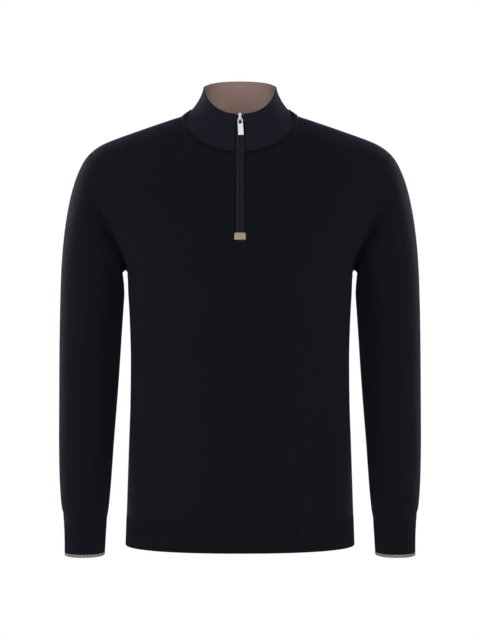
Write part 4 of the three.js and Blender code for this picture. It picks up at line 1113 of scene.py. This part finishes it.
def evenly(curve, count, closed):
    line = curve(np.linspace(0, 1, 1441))
    length = walkedAlong(line)
    wanted = np.linspace(0, length[-1], count + 1)
    tangent = np.gradient(line, axis=0)
    points, tangent = (np.stack([np.interp(wanted, length, values[:, k]) for k in range(3)], axis=-1)
                       for values in (line, tangent))
    out = np.stack([tangent[:, 1], -tangent[:, 0], np.zeros(len(wanted))], axis=-1)
    out /= np.linalg.norm(out, axis=1)[:, None]
    return (points[:-1], out[:-1]) if closed else (points, out)


def hemCurve(side, z):
    start = -90.0 if side == "front" else 90.0
    gap = math.degrees((ribSeam["gap"] / float(depthAt[side](z))) ** (sectionPower["waist"] / 2))

    def curve(share):
        turn = np.radians(lerp(start + gap, start + 180 - gap, share))
        x = sideAt(z) * signedPower(np.sin(turn), 2 / sectionPower["waist"])
        deep = depthAt[side](z) * np.abs(np.cos(turn)) ** (2 / sectionPower["waist"])
        return np.stack([x, outwardY[side] * deep, np.full_like(x, z)], axis=-1)
    return curve


def cuffCurve(sign, z):
    def curve(share):
        points = ringPoints(float(z), lerp(-180.0 * sign, 180.0 * sign, share), 1.0)
        return sidewards(points, sign)
    return curve


def ribsOn(curve):
    return round(walkedAlong(curve(np.linspace(0, 1, 721)))[-1] / rib["pitch"])


def drawnIn(seamZ):
    return lambda z: -ribSeam["depth"] * math.exp(-((z - seamZ) / ribSeam["reach"]) ** 2)


def ribRows(curveAt, levels, ribs, closed, squeeze):
    # without a seam to be drawn in at, the ribs run on to the band's top
    points, outs = [], []
    for z in levels:
        p, out = evenly(curveAt(z), ribs * rib["steps"], closed)
        phase = np.arange(len(p)) / rib["steps"] * 2 * math.pi
        wave = signedPower(np.cos(phase), rib["roundness"]) * rib["relief"] / 2
        if squeeze:
            begun = smoothstep(levels[-1] - z, 0.0, rib["fadeIn"])
            wave = wave * lerp(rib["atSeam"], 1.0, begun) + squeeze(z)
        points.append(p + out * wave[:, None])
        outs.append(out)
    return np.array(points), np.array(outs)


def ribPiece(node, curveAt, levels, closed, ribs, material, squeeze=None):
    rows, out = ribRows(curveAt, levels, ribs, closed, squeeze)
    made = clothMesh(node + "Ribbing", rows, out, rib["wall"], material, wrap=closed)
    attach(made, body)
    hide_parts(node)


ribLevels = {
    "hem": [hemBottomZ, -689.2, -687, -680, -668, -656, -647, -642.5, -641, hemTopZ - ribSeam["gap"]],
    "cuff": [
        cuff["tippingZ"] + 0.1, -696, -690, -682, -674, -664, -656, -651.5, -650,
        cuff["topZ"] - ribSeam["gap"],
    ],
    "tipping": [cuff["bottomZ"], -700.8, -699.2, cuff["tippingZ"] - 0.1],
}
for side in ("front", "back"):
    ribPiece(
        f"hem_rib_{side}", lambda z, side=side: hemCurve(side, z), ribLevels["hem"], False,
        ribsOn(hemCurve(side, hemBottomZ)), navyRib, drawnIn(hemTopZ))
for side, sign in (("left", 1.0), ("right", -1.0)):
    curveAt = lambda z, sign=sign: cuffCurve(sign, z)
    ribs = ribsOn(curveAt(cuff["bottomZ"]))
    ribPiece(
        f"cuff_{side}", curveAt, ribLevels["cuff"], True, ribs, navyRib,
        drawnIn(cuff["topZ"]))
    ribPiece(
        f"cuff_tipping_{side}", curveAt, ribLevels["tipping"], True, ribs, tippingKnit)
print("ribbing done")


# collar and its facing

clothPiece(
    "collar", "collar_knit", collar, ["yoke_left", "yoke_right"], out=directions["collar"],
    thickness=clothThickness, material=collarKnit, middle=collar.shape[1] // 2,
    sewn=[("bottom", seams["collarShare"] * neckDepth(collar[0, :, 0]), seams["collar"][1])],
    pressed=slotPaintedShade(collar) * (collar[..., 1] < 0))


def betweenColumns(rows, out, targetX, searched=12):
    # the collar's grid with its two ends moved to a given distance from the middle
    points, turns = rows.copy(), out.copy()
    for end, step in ((0, 1), (-1, -1)):
        near = np.abs(rows[:, end::step][:, :searched, 0])
        for j in range(len(rows)):
            i = int(np.searchsorted(near[j], targetX)) - 1
            t = (targetX - near[j, i]) / (near[j, i + 1] - near[j, i])
            a, b = (i, i + 1) if end == 0 else (-1 - i, -2 - i)
            points[j, end] = lerp(rows[j, a], rows[j, b], t)
            turns[j, end] = lerp(out[j, a], out[j, b], t)
            # columns that the end has passed fold in behind it
            for k in range(1, i + 1):
                c = k if end == 0 else -1 - k
                points[j, c] = lerp(points[j, end], rows[j, (i + 1) if end == 0 else (-2 - i)], k / (i + 1))
                turns[j, c] = turns[j, end]
    return points, turns


tapeHalfWidth = 13.0
facing = {"clearance": 0.8, "thickness": 1.4, "firstRow": 2}
liningGap = 0.3
facingStart = clothThickness + liningGap
# the facing's rolled edge runs along the collar's top and a little way down both sides of the slot
rolledEdge = {
    "depth": 1.75, "drop": 0.1, "radius": 0.55, "sideShare": 0.6, "sideRows": 6,
    "reach": 6.0, "thicker": 0.35, "forward": 0.7, "up": 0.35,
}
rimPath = collar[-1] - directions["collar"][-1] * rolledEdge["depth"]
rimPath[:, 2] -= rolledEdge["drop"]
sideRows = [-2 - k for k in range(rolledEdge["sideRows"])]
sideDepth = rolledEdge["depth"] * rolledEdge["sideShare"]
rimSides = [collar[sideRows, end] - directions["collar"][sideRows, end] * sideDepth for end in (0, -1)]
rimPath = np.concatenate([rimSides[0][::-1], rimPath, rimSides[1]])
# near the slider the facing's edge rolls out over the collar's
fromSlot = (np.abs(rimPath[:, 0]) - slot["halfWidthTop"]) / rolledEdge["reach"]
rolled = np.exp(-fromSlot ** 2) * (rimPath[:, 1] < 0)
rimRadii = rolledEdge["radius"] + rolledEdge["thicker"] * rolled
rimPath[:, 1] -= rolledEdge["forward"] * rolled
rimPath[:, 2] += rolledEdge["up"] * rolled
facingRows, facingOut = (values[facing["firstRow"]:] for values in (collar, directions["collar"]))
facingRows, facingOut = betweenColumns(facingRows, facingOut, tapeHalfWidth + facing["clearance"])
clothPiece(
    "collar_facing", "taupe_knit", facingRows, ["collar"], out=facingOut, start=facingStart,
    thickness=facing["thickness"], material=taupeKnit, sewn=[("bottom", *seams["collar"])],
    middle=facingRows.shape[1] // 2)
print("collar done")


# zip: two tapes behind the slot, coil on their backs, woven patch over the foot

tapeStart = clothThickness + liningGap
tapeLook = {
    # columns from the middle of the zip out under the cloth
    "columns": [0.9, 1.1, 1.5, 2.1, 2.9, 3.8, 4.7, 5.6, 6.6, 7.8, 10.0, 12.0, tapeHalfWidth],
    "thickness": 0.9, "rowsBelow": 3, "lastRow": 0.2, "bow": 0.0044,
    # waves across it, as height, place and reach: its inner edge rolls back round the coil
    "waves": [(-1.2, 0.9, 0.6), (0.8, 2.9, 1.4), (-0.5, 6.2, 1.5)],
    # painted shade on it, as share, place and reach at the coil, then under the cloth's edge and at the
    # crown
    "atCoil": (0.85, 0.9, 0.75), "atEdge": 0.85, "edgeFrom": (5.4, 7.0),
    "atCrown": 0.95, "crownFrom": (-13.0, -8.0),
    # how dark each tape is at least: the left one is a little darker all over
    "least": {"left": 0.22, "right": 0.0},
}


def zipLine():
    # the slot's edge, from below its foot to the collar's top
    below = slotFootRow - tapeLook["rowsBelow"]
    rows = np.concatenate([frontHalf[below:, 0], collar[1:, -1]])
    turns = np.concatenate([directions["front"][below:, slotColumn + 1], directions["collar"][1:, -1]])
    return [sidewards(values, math.copysign(1.0, rows[-1, 0])) for values in (rows, turns)]


edgeLine, edgeOut = zipLine()


def tapeRows(sign):
    points, outs = [], []
    for place, out in zip(edgeLine, edgeOut):
        level = out * np.array([0, 1, 1])
        level /= np.linalg.norm(level)
        beyond = [max(0.0, x - place[0]) for x in tapeLook["columns"]]
        points.append([
            [sign * x, place[1] + tapeLook["bow"] * far ** 2, place[2]]
            for x, far in zip(tapeLook["columns"], beyond)])
        outs.append([level] * len(beyond))
    points, outs = np.array(points, float), np.array(outs, float)
    points[-1] = lerp(points[-2], points[-1], tapeLook["lastRow"])
    return points, outs


def tapePaintedShade(points):
    # painted shade where the tape meets the coil, under the slot's edge and round the slider's crown
    x, z = np.abs(points[..., 0]), points[..., 2]
    share, place, reach = tapeLook["atCoil"]
    inner = share * np.exp(-((x - place) / reach) ** 2)
    outer = tapeLook["atEdge"] * smoothstep(x, *tapeLook["edgeFrom"])
    crown = tapeLook["atCrown"] * smoothstep(z, *tapeLook["crownFrom"])
    return np.maximum(np.maximum(inner, outer), crown)


for side, sign in (("left", 1.0), ("right", -1.0)):
    points, outs = tapeRows(sign)
    x = np.abs(points[..., 0])
    wavy = sum(height * np.exp(-((x - place) / reach) ** 2) for height, place, reach in tapeLook["waves"])
    clothPiece(
        f"zip_tape_{side}", "zip_tape", points, ["front", "collar"], out=outs, start=tapeStart,
        thickness=tapeLook["thickness"], material=zipWeave, shift=wavy,
        pressed=np.maximum(tapePaintedShade(points), tapeLook["least"][side]))
print("tapes done")


def tubeAlong(path, radius, sides=6):
    # round bar along a line of points, in millimetres
    path = np.asarray(path, float)
    tangent = np.gradient(path, axis=0)
    tangent /= np.linalg.norm(tangent, axis=1)[:, None]
    helper = np.array([0.0, 0.0, 1.0])
    verts, faces = [], []
    previous = None
    for p, t, thick in zip(path, tangent, np.broadcast_to(radius, len(path))):
        if previous is None:
            side = np.cross(t, helper if abs(t[2]) < 0.9 else np.array([1.0, 0, 0]))
        else:
            side = previous - t * (previous @ t)
        side /= np.linalg.norm(side)
        previous = side
        up = np.cross(t, side)
        for k in range(sides):
            turn = 2 * math.pi * k / sides
            verts.append(p + (side * math.cos(turn) + up * math.sin(turn)) * thick)
    for j in range(len(path) - 1):
        for k in range(sides):
            a, b = j * sides + k, j * sides + (k + 1) % sides
            faces.append((a, b, b + sides, a + sides))
    faces.append(tuple(range(sides - 1, -1, -1)))
    faces.append(tuple(range((len(path) - 1) * sides, len(path) * sides)))
    return np.array(verts), faces


def meshFrom(name, parts, material):
    verts, faces, count = [], [], 0
    for v, f in parts:
        verts.append(v)
        faces += [tuple(q + count for q in face) for face in f]
        count += len(v)
    allVerts = np.concatenate(verts) * mm
    mesh = bpy.data.meshes.new(name)
    mesh.from_pydata(allVerts.tolist(), [], faces)
    mesh.materials.append(material)
    layer = mesh.uv_layers.new(name="cloth")
    corner = np.zeros(len(mesh.loops), int)
    mesh.loops.foreach_get("vertex_index", corner)
    uv = np.stack([allVerts[corner, 0] + allVerts[corner, 1], allVerts[corner, 2]], axis=-1)
    layer.data.foreach_set("uv", uv.ravel())
    mesh.polygons.foreach_set("use_smooth", [True] * len(mesh.polygons))
    obj = bpy.data.objects.new(name, mesh)
    scene.collection.objects.link(obj)
    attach(obj, body)


meshFrom("collarEdge", [tubeAlong(rimPath, rimRadii, 8)], edgeKnit)

coil = {
    "pitch": 1.25, "radius": 0.3, "halfWidth": 1.15, "fromFoot": 4.0, "topZ": -15.0, "turnSteps": 10,
    "apart": 0.15, "reach": 1.25, "lift": 0.75, "height": 0.45, "sides": 5,
}


def coilPath(sign):
    lengthAlong = walkedAlong(edgeLine)
    stop = float(np.interp(coil["topZ"], edgeLine[:, 2], lengthAlong))
    count = int((stop - coil["fromFoot"]) / coil["pitch"])
    t = np.arange(count * coil["turnSteps"]) / coil["turnSteps"]
    walked = coil["fromFoot"] + t * coil["pitch"] + (0.0 if sign > 0 else coil["pitch"] / 2)
    base = np.stack([np.interp(walked, lengthAlong, edgeLine[:, k]) for k in range(3)], axis=-1)
    out = np.stack([np.interp(walked, lengthAlong, edgeOut[:, k]) for k in (1, 2)], axis=-1)
    out /= np.linalg.norm(out, axis=1)[:, None]
    turn = t * 2 * math.pi
    x = sign * (coil["halfWidth"] + coil["apart"] - coil["halfWidth"] * coil["reach"] * np.cos(turn))
    lift = tapeStart + tapeLook["thickness"] + coil["lift"] + coil["height"] * np.sin(turn)
    return np.stack([x, base[:, 1] - out[:, 0] * lift, base[:, 2] - out[:, 1] * lift], axis=-1)


coilParts = [tubeAlong(coilPath(sign), coil["radius"], coil["sides"]) for sign in (1.0, -1.0)]
meshFrom("zipCoil", coilParts, coilNylon)
print("coil done")


# patch: woven tape folded over the slot's foot, sewn round its edge

patch = {
    "halfWidth": 8.6, "topZ": -190.3, "bottomZ": -200.7, "thickness": 1.0, "gap": 0.3, "cornerPull": 0.45,
    "edge": 0.5, "roundEdge": 1.2, "puff": 0.35, "columns": 13, "rows": 9,
}


def patchSpots(low, high, count):
    inner = np.linspace(low + patch["roundEdge"], high - patch["roundEdge"], count)
    return np.concatenate([[low, low + patch["edge"]], inner, [high - patch["edge"], high]])


def patchRows():
    zs = patchSpots(patch["bottomZ"], patch["topZ"], patch["rows"])
    xs = patchSpots(-patch["halfWidth"], patch["halfWidth"], patch["columns"])
    points = np.array([onTorso("front", [(x, z) for x in xs]) for z in zs])
    # the two end rows draw in at the corners
    for j in (0, -1):
        points[j, :, 0] *= 1 - patch["cornerPull"] / patch["halfWidth"]
    a, b = points[0, len(xs) // 2], points[-1, len(xs) // 2]
    lean = math.atan2(b[1] - a[1], b[2] - a[2])
    out = np.zeros_like(points)
    out[...] = (0, -math.cos(lean), math.sin(lean))
    return points, out


patchPoints, patchOut = patchRows()
fromSide = patch["halfWidth"] - np.abs(patchPoints[..., 0])
fromEnd = np.minimum(patchPoints[..., 2] - patch["bottomZ"], patch["topZ"] - patchPoints[..., 2])
edgeX, edgeZ = (np.clip(far / patch["roundEdge"], 0, 1) for far in (fromSide, fromEnd))
clothPiece(
    "zip_patch", "patch_weave", patchPoints, ["front"], out=patchOut, material=patchWeave,
    start=-patch["gap"] - patch["thickness"], thickness=patch["thickness"],
    shift=patch["puff"] * np.sin(edgeX * math.pi / 2) * np.sin(edgeZ * math.pi / 2))

# how far a stitch stands out along its length, as a share of its lift
stitchRise = np.array([-0.9, 0.6, 1.0, 0.6, -0.9])
patchSewing = {
    "inset": 1.3, "standsOut": 1.6, "length": 1.5, "gap": 0.7, "radius": 0.16, "lift": 0.1, "points": 8,
}
slotSewing = {"inset": 2.4, "length": 2.3, "gap": 0.9, "radius": 0.17, "lift": 0.16, "collarFrom": 3}


def stitchesAlong(path, normals, sewing):
    # short thread bars that dive into the cloth at both ends
    walked = walkedAlong(path)
    length, parts, at = sewing["length"], [], sewing["gap"] / 2
    while at + length < walked[-1]:
        t = at + np.linspace(0, 1, len(stitchRise)) * length
        p, n = (np.stack([np.interp(t, walked, values[:, k]) for k in range(3)], axis=-1)
                for values in (path, normals))
        parts.append(tubeAlong(p + n * (sewing["lift"] * stitchRise)[:, None], sewing["radius"], 5))
        at += length + sewing["gap"]
    return parts


ringStitch = []
corners = [(-1, -1), (1, -1), (1, 1), (-1, 1)]
for corner, after in zip(corners, corners[1:] + corners[:1]):
    ends = []
    for sx, sz in (corner, after):
        z = patch["topZ"] - patchSewing["inset"] if sz > 0 else patch["bottomZ"] + patchSewing["inset"]
        p = sidewards(torsoPoint(patch["halfWidth"] - patchSewing["inset"], z, "front"), sx)
        ends.append(p + patchOut[0, 0] * patchSewing["standsOut"])
    path = np.array([lerp(ends[0], ends[1], t) for t in np.linspace(0, 1, patchSewing["points"])])
    ringStitch += stitchesAlong(path, np.repeat(patchOut[:1, 0], patchSewing["points"], axis=0), patchSewing)
meshFrom("patchStitches", ringStitch, patchWeave)


def insetLine(edge, inner):
    # a line on the cloth, a little way in from the slot's edge
    reach = np.abs(inner[:, 0] - edge[:, 0])
    return lerp(edge, inner, (slotSewing["inset"] / reach)[:, None])


# a row of stitches down each side of the slot, through the cloth and the tape behind it
firstRow, collarRow = slotFootRow + 1, slotSewing["collarFrom"]
outFront = directions["front"][firstRow:, slotColumn + 1]
inFront = insetLine(frontHalf[firstRow:, 0], frontHalf[firstRow:, 4])
inFront = inFront + outFront * frontShift[firstRow:, slotColumn + 3][:, None]
inCollar = insetLine(collar[collarRow:, -1], collar[collarRow:, -5])
slotStitch = []
for sign in (1.0, -1.0):
    for path, out in ((inFront, outFront), (inCollar, directions["collar"][collarRow:, -1])):
        turned = math.copysign(1.0, sign * path[0, 0])
        slotStitch += stitchesAlong(sidewards(path, turned), sidewards(out, turned), slotSewing)
meshFrom("slotStitches", slotStitch, darkThread)
print("stitches done")


# slider and pull: the solids' own shapes with soft edges

metalEdge = {"weld": 0.02 * mm, "flatAngle": 3, "bevelAngle": 35, "sharpAngle": 40, "segments": 3}


def softened(node, rider, width, cutAt=None):
    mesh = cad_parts[node].data.copy()
    mesh.materials.clear()
    mesh.materials.append(satinSteel)
    shape = bmesh.new()
    shape.from_mesh(mesh)
    bmesh.ops.remove_doubles(shape, verts=shape.verts, dist=metalEdge["weld"])
    bmesh.ops.dissolve_limit(
        shape, angle_limit=math.radians(metalEdge["flatAngle"]), verts=shape.verts, edges=shape.edges)
    if cutAt is not None:
        parts = shape.verts[:] + shape.edges[:] + shape.faces[:]
        bmesh.ops.bisect_plane(shape, geom=parts, plane_co=(0, 0, cutAt), plane_no=(0, 0, 1))
    shape.to_mesh(mesh)
    shape.free()
    made = bpy.data.objects.new(node + "Metal", mesh)
    scene.collection.objects.link(made)
    bevel = made.modifiers.new("bevel", "BEVEL")
    bevel.width = width
    bevel.segments = metalEdge["segments"]
    bevel.limit_method = "ANGLE"
    bevel.angle_limit = math.radians(metalEdge["bevelAngle"])
    bevel.harden_normals = True
    mesh.polygons.foreach_set("use_smooth", [True] * len(mesh.polygons))
    mesh.set_sharp_from_angle(angle=math.radians(metalEdge["sharpAngle"]))
    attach(made, rider)
    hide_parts(node)
    return made


# the slider's crown and bridge are bright, the rest of it is dark
sliderLook = {
    "bevel": 0.28 * mm, "crownZ": -4.2 * mm, "bridgeY": -65.3 * mm, "bridgeZ": -6.0 * mm, "lean": 0.17,
    "bridgeHalfWidth": 1.36 * mm,
}
slider = softened("zip_slider", body, sliderLook["bevel"], cutAt=sliderLook["crownZ"])
slider.data.materials.append(darkSteel)
for face in slider.data.polygons:
    x, y, z = face.center
    ahead = y < sliderLook["bridgeY"] + (z - sliderLook["bridgeZ"]) * sliderLook["lean"]
    onBridge = abs(x) < sliderLook["bridgeHalfWidth"] and ahead
    face.material_index = 0 if onBridge or z > sliderLook["crownZ"] else 1
pullBevel = 0.35 * mm
softened("zip_pull", "zip_pull", pullBevel)
print("slider and pull done")
